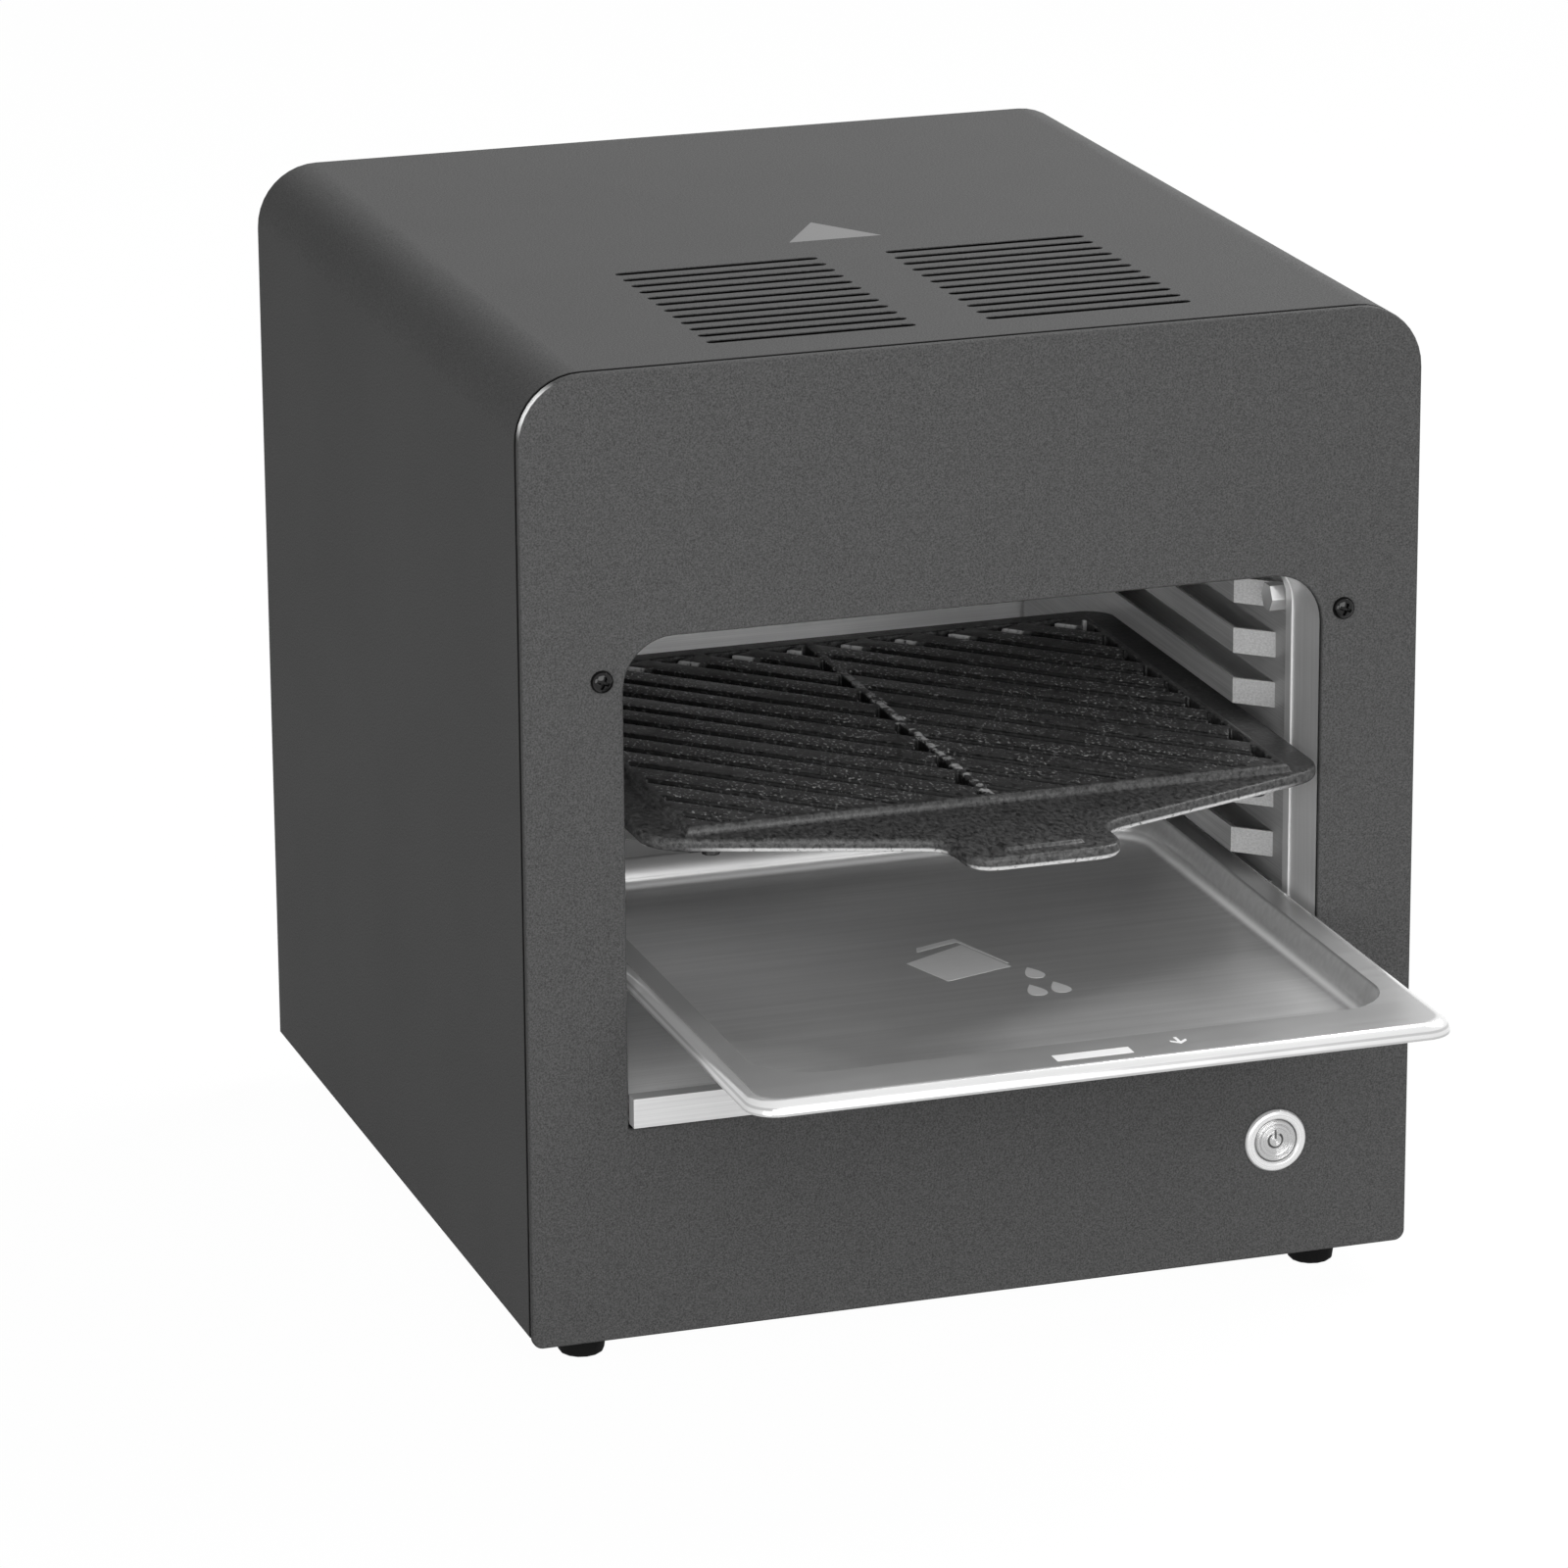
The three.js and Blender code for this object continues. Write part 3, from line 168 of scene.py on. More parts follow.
# A group's inputs have their first values, and its outputs the number of their parts: one, a vector's three or a
# colour's four
def newGroup(name, inputs, outputs):
    tree = bpy.data.node_groups.new(name, "ShaderNodeTree")
    kinds = {1: "NodeSocketFloat", 3: "NodeSocketVector", 4: "NodeSocketColor"}
    for label, value in {"Vector": (0, 0, 0), **inputs}.items():
        kind = kinds[len(value) if isinstance(value, tuple) else 1]
        tree.interface.new_socket(name=label, in_out="INPUT", socket_type=kind).default_value = value
    for label, count in outputs.items():
        tree.interface.new_socket(name=label, in_out="OUTPUT", socket_type=kinds[count])
    given = tree.nodes.new("NodeGroupInput").outputs
    return tree, given, given["Vector"], tree.nodes.new("NodeGroupOutput").inputs


finishOutputs = {"Color": 4, "Roughness": 1, "Height": 1}
turnedOutputs = {"Color": 4, "Roughness": 1, "Normal": 3}


# Writes a group's three results: its colour, its given roughness moved by a share, and its height or normal
def writeFinish(given, result, color, share, relief):
    roughness = maths("ADD", given["Roughness"], share, clamp=True)
    for socket, value in zip(result, (color, roughness, relief)):
        feed(socket, value)


coatLook = {"coarse": 0.7, "fine": 0.3, "fineScale": 2.7, "cloudScale": 9.0, "roughness": 0.25}


# Powder coat: soft bumps of about a millimetre with a finer grain on them, under slow clouds
def makeCoatGroup(look):
    tree, given, spot, result = newGroup("powderCoat", {
        "Color": grey(0.05), "Roughness": 0.5, "Grain": 640.0, "Mottle": 0.3, "Clouds": 0.03,
    }, finishOutputs)
    coarse = noise(spot, given["Grain"], 2.0, 0.55)
    fine = noise(spot, product(given["Grain"], look["fineScale"]), 2.0, 0.6)
    bumps = weighted((coarse, look["coarse"]), (fine, look["fine"]))
    grain = aboutZero(bumps)
    cloud = aboutZero(noise(spot, look["cloudScale"]))
    share = weighted((grain, given["Mottle"]), (cloud, given["Clouds"]))
    uneven = weighted((grain, look["roughness"]), (cloud, given["Clouds"]))
    writeFinish(given, result, shade(given["Color"], share), uneven, bumps)
    return tree


brushLook = {"cloudScale": 17.0, "roughness": 0.1}


# Brushed or rolled sheet: noise drawn out along one direction, under slow clouds
def makeBrushGroup(look):
    tree, given, spot, result = newGroup("brushedSheet", {
        "Stretch": (14, 1500, 1500), "Color": grey(0.4), "Roughness": 0.35, "Streaks": 0.3, "Clouds": 0.12,
    }, finishOutputs)
    lines = aboutZero(noise(vectorMaths("MULTIPLY", spot, given["Stretch"]), 1.0))
    cloud = aboutZero(noise(spot, look["cloudScale"], 3.0, 0.6))
    share = weighted((lines, given["Streaks"]), (cloud, given["Clouds"]))
    uneven = weighted((lines, look["roughness"]), (cloud, look["roughness"]))
    writeFinish(given, result, shade(given["Color"], share), uneven, lines)
    return tree


castLook = {
    "stretch": (1.0, 0.6, 1.0), "grains": 560.0, "lumps": 210.0, "clouds": 32.0, "specks": 800.0,
    "speckRange": (0.585, 0.665), "patches": 60.0, "patchRange": (0.3, 0.6), "wornAndLitRange": (0.2, 0.5),
    "grainShare": 4.2, "cloudShare": 0.4, "sootAndShadeShare": -0.85, "grainRoughness": 0.4, "brightRoughness": -0.25,
    "grainHeight": 0.7, "lumpHeight": 0.3,
}


# Sand-cast skin: grains over soft lumps, bright specks in patches, worn bright with painted highlights and darkened
# by soot with painted shade where the masks say so
def makeCastGroup(look):
    tree, given, spot, result = newGroup("castSkin", {
        "Color": grey(0.02), "Bright Color": grey(0.2), "Roughness": 0.6, "Wear": 0.0, "Specks": 0.5, "Soot": 0.0,
    }, finishOutputs)
    sand = vectorMaths("MULTIPLY", spot, look["stretch"])
    grains = noise(sand, look["grains"], 2.0, 0.65)
    lumps = noise(spot, look["lumps"])
    cloud = aboutZero(noise(spot, look["clouds"], 3.0, 0.6))
    specks = remap(noise(sand, look["specks"], 1.0), *look["speckRange"])
    patches = remap(noise(spot, look["patches"]), *look["patchRange"])
    scatter = product(specks, patches, given["Specks"])
    wornAndLit = product(given["Wear"], remap(grains, *look["wornAndLitRange"]))
    bright = maths("MAXIMUM", wornAndLit, scatter)
    grain = aboutZero(grains)
    share = weighted((grain, look["grainShare"]), (cloud, look["cloudShare"]))
    color = mixColor(bright, shade(given["Color"], share), given["Bright Color"])
    color = shade(color, product(given["Soot"], look["sootAndShadeShare"]))
    uneven = weighted((grain, look["grainRoughness"]), (bright, look["brightRoughness"]))
    height = weighted((grains, look["grainHeight"]), (lumps, look["lumpHeight"]))
    writeFinish(given, result, color, uneven, height)
    return tree


zincLook = {
    "swirlScale": 320.0, "swirl": 0.0022, "frostScale": 1300.0, "frost": 0.2, "cloudScale": 11.0, "clouds": 0.12,
    "roughness": 0.16,
}


# Zinc coat: crystals of a few millimetres, each a little lighter or darker, under fine frost and slow clouds
def makeZincGroup(look):
    tree, given, spot, result = newGroup("zincCrystals", {
        "Color": grey(0.5), "Roughness": 0.45, "Crystals": 210.0, "Contrast": 0.2,
    }, finishOutputs)
    swirl = put(tree, "TexNoise", {"Vector": spot, "Scale": look["swirlScale"], "Detail": 1.0}).outputs["Color"]
    warped = vectorMaths("ADD", spot, scaled(swirl, look["swirl"]))
    cells = put(tree, "TexVoronoi", {"Vector": warped, "Scale": given["Crystals"]}).outputs["Color"]
    cell = aboutZero(put(tree, "SeparateColor", {"Color": cells}).outputs["Red"])
    frost = aboutZero(noise(spot, look["frostScale"], 2.0, 0.6))
    cloud = aboutZero(noise(spot, look["cloudScale"], 3.0, 0.6))
    share = weighted((frost, look["frost"]), (cloud, look["clouds"]), (cell, given["Contrast"]))
    uneven = product(cell, look["roughness"])
    writeFinish(given, result, shade(given["Color"], share), uneven, frost)
    return tree


turnedLook = {"rings": 5200.0, "shade": 0.35, "roughness": 0.3}


# Turned face: fine rings about an axis that runs along Y through the centre. The normal leans out or in with the
# rings, so a light is drawn out into a fan
def makeTurnedGroup(look):
    tree, given, spot, result = newGroup("turnedFace", {
        "Centre": (0, 0, 0), "Color": grey(0.5), "Roughness": 0.25, "Normal": (0, 0, 1), "Lean": 0.3,
    }, turnedOutputs)
    flat = vectorMaths("MULTIPLY", vectorMaths("SUBTRACT", spot, given["Centre"]), (1, 0, 1))
    rings = aboutZero(put(tree, "TexNoise", {
        "W": vectorMaths("LENGTH", flat, output=1), "Scale": look["rings"], "Detail": 3.0, "Roughness": 0.6,
    }, noise_dimensions="1D").outputs["Fac"])
    color = shade(given["Color"], product(rings, look["shade"]))
    uneven = product(rings, look["roughness"])
    lean = product(rings, given["Lean"])
    outward = scaled(vectorMaths("NORMALIZE", flat), lean)
    normal = vectorMaths("NORMALIZE", vectorMaths("ADD", given["Normal"], outward))
    writeFinish(given, result, color, uneven, normal)
    return tree


triangleLook = {"level": 0.0002, "edge": (0.0, 0.0001)}


# Printed triangle on a level face: the least distance inside its three sides, where the face is at that height
def makeTriangleGroup(look):
    tree, given, spot, result = newGroup("printedTriangle", {"Point": (0, 1, 0), "Half Width": 0.02, "Length": 0.03},
                                         {"Mask": 1})
    off = axesOf(vectorMaths("SUBTRACT", spot, given["Point"]))
    across = maths("ABSOLUTE", off["X"])
    down = product(off["Y"], -1.0)
    slope = maths("DIVIDE", given["Half Width"], given["Length"])
    inside = maths("SUBTRACT", product(down, slope), across)
    above = maths("SUBTRACT", given["Length"], down)
    level = maths("SUBTRACT", look["level"], maths("ABSOLUTE", off["Z"]))
    least = maths("MINIMUM", maths("MINIMUM", inside, above), level)
    feed(result["Mask"], remap(least, *look["edge"]))
    return tree


smearLook = {"range": (0.35, 0.7, -1.0, 1.0), "detail": 4.0, "roughness": 0.62}


# Grease and hand marks: broad blots that dull or shine a surface a little
def makeSmearGroup(look):
    tree, given, spot, result = newGroup("smears", {"Size": 11.0, "Strength": 0.1}, {"Shift": 1})
    blots = noise(spot, given["Size"], look["detail"], look["roughness"])
    feed(result["Shift"], product(remap(blots, *look["range"]), given["Strength"]))
    return tree


groups = {
    "coat": makeCoatGroup(coatLook), "brush": makeBrushGroup(brushLook), "cast": makeCastGroup(castLook),
    "zinc": makeZincGroup(zincLook), "turned": makeTurnedGroup(turnedLook), "smears": makeSmearGroup(smearLook),
    "triangle": makeTriangleGroup(triangleLook),
}


def useGroup(groupName, values):
    return put(firstSocket(values.values()), "Group", values, node_tree=groups[groupName]).outputs


# One material: a group gives colour, roughness and a height or a normal, the shader's even values are set on its own
# sockets, and each mask feeds the group's input of its name
def makeMaterial(name, groupName, values, shader=None, bump=0.2, depth=0.0002, smear=0.05, masks=None):
    material = bpy.data.materials.new(name)
    material.use_nodes = True
    tree = material.node_tree
    surface = tree.nodes["Principled BSDF"].inputs
    spot = put(tree, "TexCoord").outputs["Object"]
    fed = {key: maskOf(spot) for key, maskOf in (masks or {}).items()}
    made = useGroup(groupName, {"Vector": spot, **values, **fed})
    shift = useGroup("smears", {"Vector": spot, "Strength": smear})["Shift"]
    feed(surface["Base Color"], made["Color"])
    feed(surface["Roughness"], maths("ADD", made["Roughness"], shift, clamp=True))
    if "Height" in made:
        lift = put(tree, "Bump", {"Strength": bump, "Distance": depth, "Height": made["Height"]})
        feed(surface["Normal"], lift.outputs["Normal"])
    else:
        feed(surface["Normal"], made["Normal"])
    for key, value in (shader or {}).items():
        surface[key].default_value = value
    return material


# The plate's field of slanting ribs, in the stored place. A pair runs from no effect to the full one
ribField = {
    "halfWidth": 0.118, "front": -0.130, "back": 0.0735, "crest": 0.2225, "edge": (0.0, 0.001),
    "depth": (0.0002, 0.0012), "lean": (0.97, 0.85), "offSpine": (0.0035, 0.004), "specks": (0.0, 0.002, 0.05, 0.65),
}

# Bright places on the casting: the spine's crest, rubbed in patches; its lower front edge, worn and with a painted
# highlight; and painted light on the grooves' rear ends, where their faces look forward
wornAndLitPlaces = {
    "rimHeight": (0.2162, 0.2152), "rimFacing": (-0.2, -0.6), "rimReach": (-0.135, -0.145),
    "spineWidth": (0.0018, 0.0009), "spineHeight": (0.2210, 0.2216), "spineReach": (0.06, 0.0),
    "patchScale": 170.0, "patches": (0.45, 0.55),
    "pocketFront": (0.0700, 0.0710), "pocketBack": (0.0815, 0.0805), "pocketFacing": (-0.15, -0.45),
    "pocketShare": 0.85,
}


# Each place is a product of steps in height, in reach and in the way its face looks, and the strongest place wins.
# The rim's edge and the grooves' rear ends carry painted highlights
def plateWearAndHighlights(spot):
    wornAndLit, axes, normal = wornAndLitPlaces, axesOf(spot), axesOf(faceNormal(spot))
    rim = gate(wornAndLit, (axes["Z"], "rimHeight"), (normal["Y"], "rimFacing"), (axes["Y"], "rimReach"))
    spine = gate(wornAndLit, (maths("ABSOLUTE", axes["X"]), "spineWidth"), (axes["Z"], "spineHeight"),
                 (axes["Y"], "spineReach"), (noise(spot, wornAndLit["patchScale"]), "patches"))
    pocket = gate(wornAndLit, (axes["Y"], "pocketFront"), (axes["Y"], "pocketBack"), (normal["Y"], "pocketFacing"))
    pocket = product(pocket, wornAndLit["pocketShare"])
    return maths("MAXIMUM", maths("MAXIMUM", rim, spine), pocket)


# How far inside the ribbed field a point lies, below zero outside it
def fieldReach(spot):
    axes = axesOf(spot)
    edge = maths("SUBTRACT", ribField["halfWidth"], maths("ABSOLUTE", axes["X"]))
    ahead = maths("SUBTRACT", axes["Y"], ribField["front"])
    behind = maths("SUBTRACT", ribField["back"], axes["Y"])
    return maths("MINIMUM", maths("MINIMUM", edge, ahead), behind)


# Bright grains show on the ribs, and a few of them on the rim
def plateSpecks(spot):
    return remap(fieldReach(spot), *ribField["specks"])


# Painted shade, with soot, fills the grooves of the ribbed field: it darkens with the depth below the crests, and
# wherever a face off the spine leans
def grooveSootAndShade(spot):
    axes, normal = axesOf(spot), axesOf(faceNormal(spot))
    low = remap(maths("SUBTRACT", ribField["crest"], axes["Z"]), *ribField["depth"])
    leaning = gate(ribField, (normal["Z"], "lean"), (maths("ABSOLUTE", axes["X"]), "offSpine"))
    inside = remap(fieldReach(spot), *ribField["edge"])
    return product(inside, maths("MAXIMUM", low, leaning))


finishes = {
    "coat": (grey(0.074), 0.58, 1500.0, 2.6), "coatSpecular": 0.03,
    "steel": grey(0.8), "steelRoughness": 0.38, "steelMetal": 0.4, "zinc": grey(0.5),
    "tray": grey(0.56), "rack": grey(0.5), "trim": grey(0.7), "chamber": grey(0.9), "sill": grey(0.6),
}
brushAcross, brushAlong, brushUpright = (14, 1500, 1500), (1500, 14, 1500), (1500, 1500, 14)


# Any even coat or moulded surface: a roughness, the scale of its grain, and how much the grain mottles the colour
def coated(name, color, roughness, grain, mottle, shader=None, **relief):
    values = {"Color": color, "Roughness": roughness, "Grain": grain, "Mottle": mottle}
    return makeMaterial(name, "coat", values, shader, **relief)


def charcoalCoat(name):
    return coated(name, *finishes["coat"], {"Specular IOR Level": finishes["coatSpecular"]}, bump=0.5,
                  depth=0.00025, smear=0.012)


def steel(name, stretch, color=finishes["steel"], roughness=finishes["steelRoughness"], streaks=0.35, clouds=0.12,
          bump=0.1, metal=finishes["steelMetal"]):
    return makeMaterial(name, "brush", {
        "Stretch": stretch, "Color": color, "Roughness": roughness, "Streaks": streaks, "Clouds": clouds,
    }, {"Metallic": metal}, bump=bump, depth=0.0001, smear=0.03)


def zincCoat(name):
    return makeMaterial(name, "zinc", {"Color": finishes["zinc"]}, {"Metallic": finishes["steelMetal"]}, bump=0.1,
                        depth=0.0001, smear=0.03)


materials = {
    "steelX": steel("steelAcross", brushAcross),
    "steelY": steel("steelAlong", brushAlong),
    "steelZ": steel("steelUpright", brushUpright, finishes["trim"]),
    "rack": steel("rackSteel", brushAlong, finishes["rack"], streaks=0.8, clouds=0.3),
    "sill": steel("sillSteel", brushAcross, finishes["sill"]),
    "chamber": steel("chamberSteel", brushAcross, finishes["chamber"], metal=0.1),
    "polished": steel("steelPolished", (300, 300, 300), grey(0.95), roughness=0.2, streaks=0.08, clouds=0.05,
                      bump=0.02, metal=0.6),
    "etch": steel("etchedMark", (120, 1500, 1500), grey(0.85), roughness=0.55, streaks=0.12, clouds=0.05,
                  bump=0.05, metal=0.2),
    "zinc": zincCoat("zincSheet"),
    # The iron's bright colour shows wear with painted highlights, and its dark mask paints shade with soot into the
    # grooves
    "iron": makeMaterial("seasonedIron", "cast", {
        "Color": grey(0.041), "Bright Color": grey(0.6), "Roughness": 0.46,
    }, {"Specular IOR Level": 0.35}, bump=0.9, depth=0.0004, smear=0.06, masks={
        "Wear": plateWearAndHighlights, "Soot": grooveSootAndShade, "Specks": plateSpecks,
    }),
    "sheath": makeMaterial("heaterSheath", "cast", {
        "Color": grey(0.09, 0.03), "Bright Color": grey(0.2, 0.03), "Roughness": 0.45, "Specks": 0.2,
    }, {"Metallic": 0.7}, bump=0.15, depth=0.0001),
    "ceramic": coated("unglazedCeramic", grey(0.66, 0.04), 0.7, 900.0, 0.12, bump=0.25),
    "fibre": coated("pressedFibre", grey(0.3, 0.04), 0.92, 420.0, 0.35, {"Sheen Weight": 0.2}, bump=0.8,
                    depth=0.0006),
    "oxide": coated("blackOxide", grey(0.003), 0.07, 1500.0, 0.2, {"Specular IOR Level": 0.3}, bump=0.04,
                    depth=0.0001, smear=0.03),
    "rubber": coated("footRubber", grey(0.006), 0.8, 1200.0, 0.3, {"Specular IOR Level": 0.1}, bump=0.25),
    "plastic": coated("blackPlastic", grey(0.018), 0.45, 1700.0, 0.2, depth=0.0001),
    "sleeve": coated("wireSleeve", (0.42, 0.05, 0.04, 1.0), 0.55, 900.0, 0.12, bump=0.1),
}


# What a mask needs of a made material: its surface's inputs and its object coordinates
def openMaterial(material):
    nodes = material.node_tree.nodes
    spot = next(node for node in nodes if node.type == "TEX_COORD").outputs["Object"]
    return nodes["Principled BSDF"].inputs, spot


def feeder(socket):
    return socket.links[0].from_socket


# A surface's colour gives way to another where a mask says so
def overlayColor(surface, mask, color):
    feed(surface["Base Color"], mixColor(mask, feeder(surface["Base Color"]), color))


# A surface's roughness moves by a share of a mask
def moveRoughness(surface, mask, share):
    feed(surface["Roughness"], maths("ADD", feeder(surface["Roughness"]), product(mask, share)))


# The cover's coat carries a plain pale triangle that points back. The vents' cut walls are painted near black as
# shade, and so is the cover's front edge, painted as the shadow in the gap behind the front panel
topMark = {"point": (0.003, 0.0886, 0.396), "halfWidth": 0.0193, "length": 0.0306, "color": grey(0.2)}
ventShade = {"top": (0.3957, 0.3955), "low": (0.39, 0.3902), "width": (0.13, 0.129), "color": grey(0.003)}
seamShade = {"reach": (-0.1119, -0.1124), "color": grey(0.004)}


def makeCoverCoat(mark, vent, seam):
    material = charcoalCoat("coverCoat")
    surface, spot = openMaterial(material)
    triangle = useGroup("triangle", {
        "Vector": spot, "Point": mark["point"], "Half Width": mark["halfWidth"], "Length": mark["length"],
    })["Mask"]
    axes = axesOf(spot)
    slots = gate(vent, (axes["Z"], "top"), (axes["Z"], "low"), (maths("ABSOLUTE", axes["X"]), "width"))
    edge = remap(axes["Y"], *seam["reach"])
    for mask, color in ((triangle, mark["color"]), (slots, vent["color"]), (edge, seam["color"])):
        overlayColor(surface, mask, color)
    return material


# The front panel's coat turns to bright bare metal on the round of its upper left corner: a painted highlight, given
# as worn metal
paintedCornerHighlight = {
    "x": -0.1755, "z": 0.385, "reach": (0.014, 0.004), "face": (-0.1173, -0.1170), "color": grey(0.85), "metal": 0.9,
    "roughness": -0.3,
}


def makePanelCoat(highlight):
    material = charcoalCoat("panelCoat")
    surface, spot = openMaterial(material)
    flat = vectorMaths("MULTIPLY", spot, (1, 0, 1))
    away = vectorMaths("DISTANCE", flat, (highlight["x"], 0, highlight["z"]), output=1)
    mask = gate(highlight, (away, "reach"), (axesOf(spot)["Y"], "face"))
    overlayColor(surface, mask, highlight["color"])
    feed(surface["Metallic"], product(mask, highlight["metal"]))
    moveRoughness(surface, mask, highlight["roughness"])
    return material


# Painted shadow: the inner frame is coloured near black where the gap behind the front panel bares it
gapShade = {"reach": (-0.1125, -0.1127), "color": grey(0.004)}


def makeFrameZinc(gap):
    material = zincCoat("frameZinc")
    surface, spot = openMaterial(material)
    overlayColor(surface, remap(axesOf(spot)["Y"], *gap["reach"]), gap["color"])
    return material


materials["cover"] = makeCoverCoat(topMark, ventShade, seamShade)
materials["panel"] = makePanelCoat(paintedCornerHighlight)
materials["frame"] = makeFrameZinc(gapShade)
print("materials made:", len(materials))


def newPiece(name, points, faces):
    mesh = bpy.data.meshes.new(name)
    mesh.from_pydata(points, [], faces)
    piece = bpy.data.objects.new(name, mesh)
    scene.collection.objects.link(piece)
    return piece


def setMaterial(piece, material):
    piece.data.materials.clear()
    piece.data.materials.append(material)


# A piece gets its one material, the body that carries it, and the CAD nodes that it replaces
def settle(piece, material, body, replaced):
    setMaterial(piece, material)
    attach(piece, body)
    if replaced:
        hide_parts(*replaced)
    return piece


# A piece is named after its CAD node, apart from two whose names say more
otherNames = {"front_frame": "innerFrame", "sill": "openingSill"}


def pieceName(nodeName):
    first, *others = nodeName.split("_")
    return otherNames.get(nodeName, first + "".join(map(str.title, others)))


def collect(name, points, faces, material, body, replaced, smooth=True):
    piece = newPiece(name, points, faces)
    piece.data.validate()
    if smooth:
        piece.data.shade_smooth()
    return settle(piece, material, body, replaced)


# Quads between the neighbouring points of a grid of rows and columns whose columns close round
def gridFaces(rows, columns):
    row, column = np.arange(rows - 1)[:, None] * columns, np.arange(columns)[None, :]
    after = (column + 1) % columns
    corners = [row + column, row + after, row + columns + after, row + columns + column]
    return np.stack(np.broadcast_arrays(*corners), -1).reshape(-1, 4)


# A skin over rings of points that takes the place of a CAD node
def ringPiece(nodeName, rings, material, body):
    faces = gridFaces(*rings.shape[:2])
    return collect(pieceName(nodeName), rings.reshape(-1, 3), faces, material, body, (nodeName,))


# The first and the last ring are closed by a ring that has shrunk to their middle
def closeEnds(rings):
    first, last = (rings[[end]].mean(1, keepdims=True).repeat(rings.shape[1], 1) for end in (0, -1))
    return np.concatenate([first, rings, last])


# Each point of a piece gets a value of its own, which materials read by name
def writeValues(piece, name, values):
    layer = piece.data.attributes.new(name, "FLOAT", "POINT")
    layer.data.foreach_set("value", values.reshape(-1).astype(np.float32))


# Opens a piece's mesh, has it changed, and writes it back
def editMesh(piece, *changes):
    mesh = bmesh.new()
    mesh.from_mesh(piece.data)
    for change in changes:
        change(mesh)
    mesh.to_mesh(piece.data)
    mesh.free()


def turnOutwards(mesh):
    bmesh.ops.recalc_face_normals(mesh, faces=mesh.faces)


def mergeNear(mesh, near=1e-7):
    bmesh.ops.remove_doubles(mesh, verts=mesh.verts, dist=near)
    bmesh.ops.dissolve_degenerate(mesh, edges=mesh.edges, dist=near)


# Joins level faces and splits them anew, so that no long face folds over itself in a bevel
def splitAnew(mesh, level=0.4):
    bmesh.ops.dissolve_limit(mesh, angle_limit=math.radians(level), verts=mesh.verts, edges=mesh.edges)
    bmesh.ops.triangulate(mesh, faces=mesh.faces, quad_method="BEAUTY", ngon_method="BEAUTY")


# Rows of points that shrink to one place are merged there, and all faces are turned outwards
def weld(piece, angle=38.0):
    editMesh(piece, mergeNear, turnOutwards)
    piece.data.shade_smooth()
    piece.data.set_sharp_from_angle(angle=math.radians(angle))


# Copies a CAD solid with its loose triangles merged
def mergedCopy(nodeName):
    source = cadNodes[nodeName].data
    points = np.empty(len(source.vertices) * 3, np.float32)
    source.vertices.foreach_get("co", points)
    corners = np.empty(len(source.loops), np.int32)
    source.loops.foreach_get("vertex_index", corners)
    keys, back = np.unique(np.round(points.reshape(-1, 3), 6), axis=0, return_inverse=True)
    triangles = back.reshape(-1)[corners].reshape(-1, 3)
    first, second, third = triangles.T
    flat = (first == second) | (second == third) | (third == first)
    piece = newPiece(pieceName(nodeName), keys, triangles[~flat])
    piece.data.shade_smooth()
    return piece


# The mesh that a piece's modifiers give takes the place of its own
def bakeModifiers(piece):
    depsgraph = bpy.context.evaluated_depsgraph_get()
    finished = bpy.data.meshes.new_from_object(piece.evaluated_get(depsgraph), depsgraph=depsgraph)
    piece.modifiers.clear()
    piece.data = finished
    finished.name = piece.name


edgeRounding = {"sharper": 28.0, "segments": 2, "weight": 100}


# Rounds every edge of a merged copy that is sharper than the given angle
def roundedCopy(nodeName, material, body, width, rounding=edgeRounding):
    piece = mergedCopy(nodeName)
    editMesh(piece, splitAnew)
    if width > 0:
        bevel = piece.modifiers.new("edges", "BEVEL")
        bevel.width = width
        bevel.segments = rounding["segments"]
        bevel.limit_method = "ANGLE"
        bevel.angle_limit = math.radians(rounding["sharper"])
        bevel.miter_outer = "MITER_ARC"
    even = piece.modifiers.new("even", "WEIGHTED_NORMAL")
    even.weight = rounding["weight"]
    bakeModifiers(piece)
    settle(piece, material, body, (nodeName,))


castForm = {"voxel": 0.6, "relax": 1, "share": 0.5, "triangles": 195000}


# Casts a merged copy anew: an even voxel skin, relaxed until every edge turns round, then thinned where it is flat
def castCopy(nodeName, material, body, form):
    piece = mergedCopy(nodeName)
    skin = piece.modifiers.new("skin", "REMESH")
    skin.mode = "VOXEL"
    skin.voxel_size = form["voxel"] * mm
    skin.use_smooth_shade = True
    relax = piece.modifiers.new("relax", "SMOOTH")
    relax.factor = form["share"]
    relax.iterations = form["relax"]
    bakeModifiers(piece)
    thin = piece.modifiers.new("thin", "DECIMATE")
    thin.ratio = min(1.0, form["triangles"] / (2 * len(piece.data.polygons)))
    bakeModifiers(piece)
    piece.data.shade_smooth()
    return settle(piece, material, body, (nodeName,))


# Cabinet, liner and racks: CAD shapes with their sheet edges broken by these widths in millimetres
cabinetPieces = {
    "coated_steel": [("wrap_cover", "cover", 0.12), ("front_panel", "panel", 0.0)],
    "zinc_steel": [("rear_panel", "zinc", 0.3), ("base_pan", "zinc", 0.3), ("front_frame", "frame", 0.2)],
    "stainless_steel": [
        ("opening_trim", "steelZ", 0.22), ("sill", "sill", 0.3), ("chamber_back", "steelX", 0.0),
        ("reflector_hood", "steelX", 0.3), ("rack_left", "rack", 0.45), ("rack_right", "rack", 0.45),
        ("heater_bracket_front", "steelX", 0.25), ("heater_bracket_rear", "steelX", 0.25),
    ],
    "black_plastic": [("power_gland", "plastic", 0.4), ("gland_nut", "plastic", 0.3)],
    "rubber": [],
}
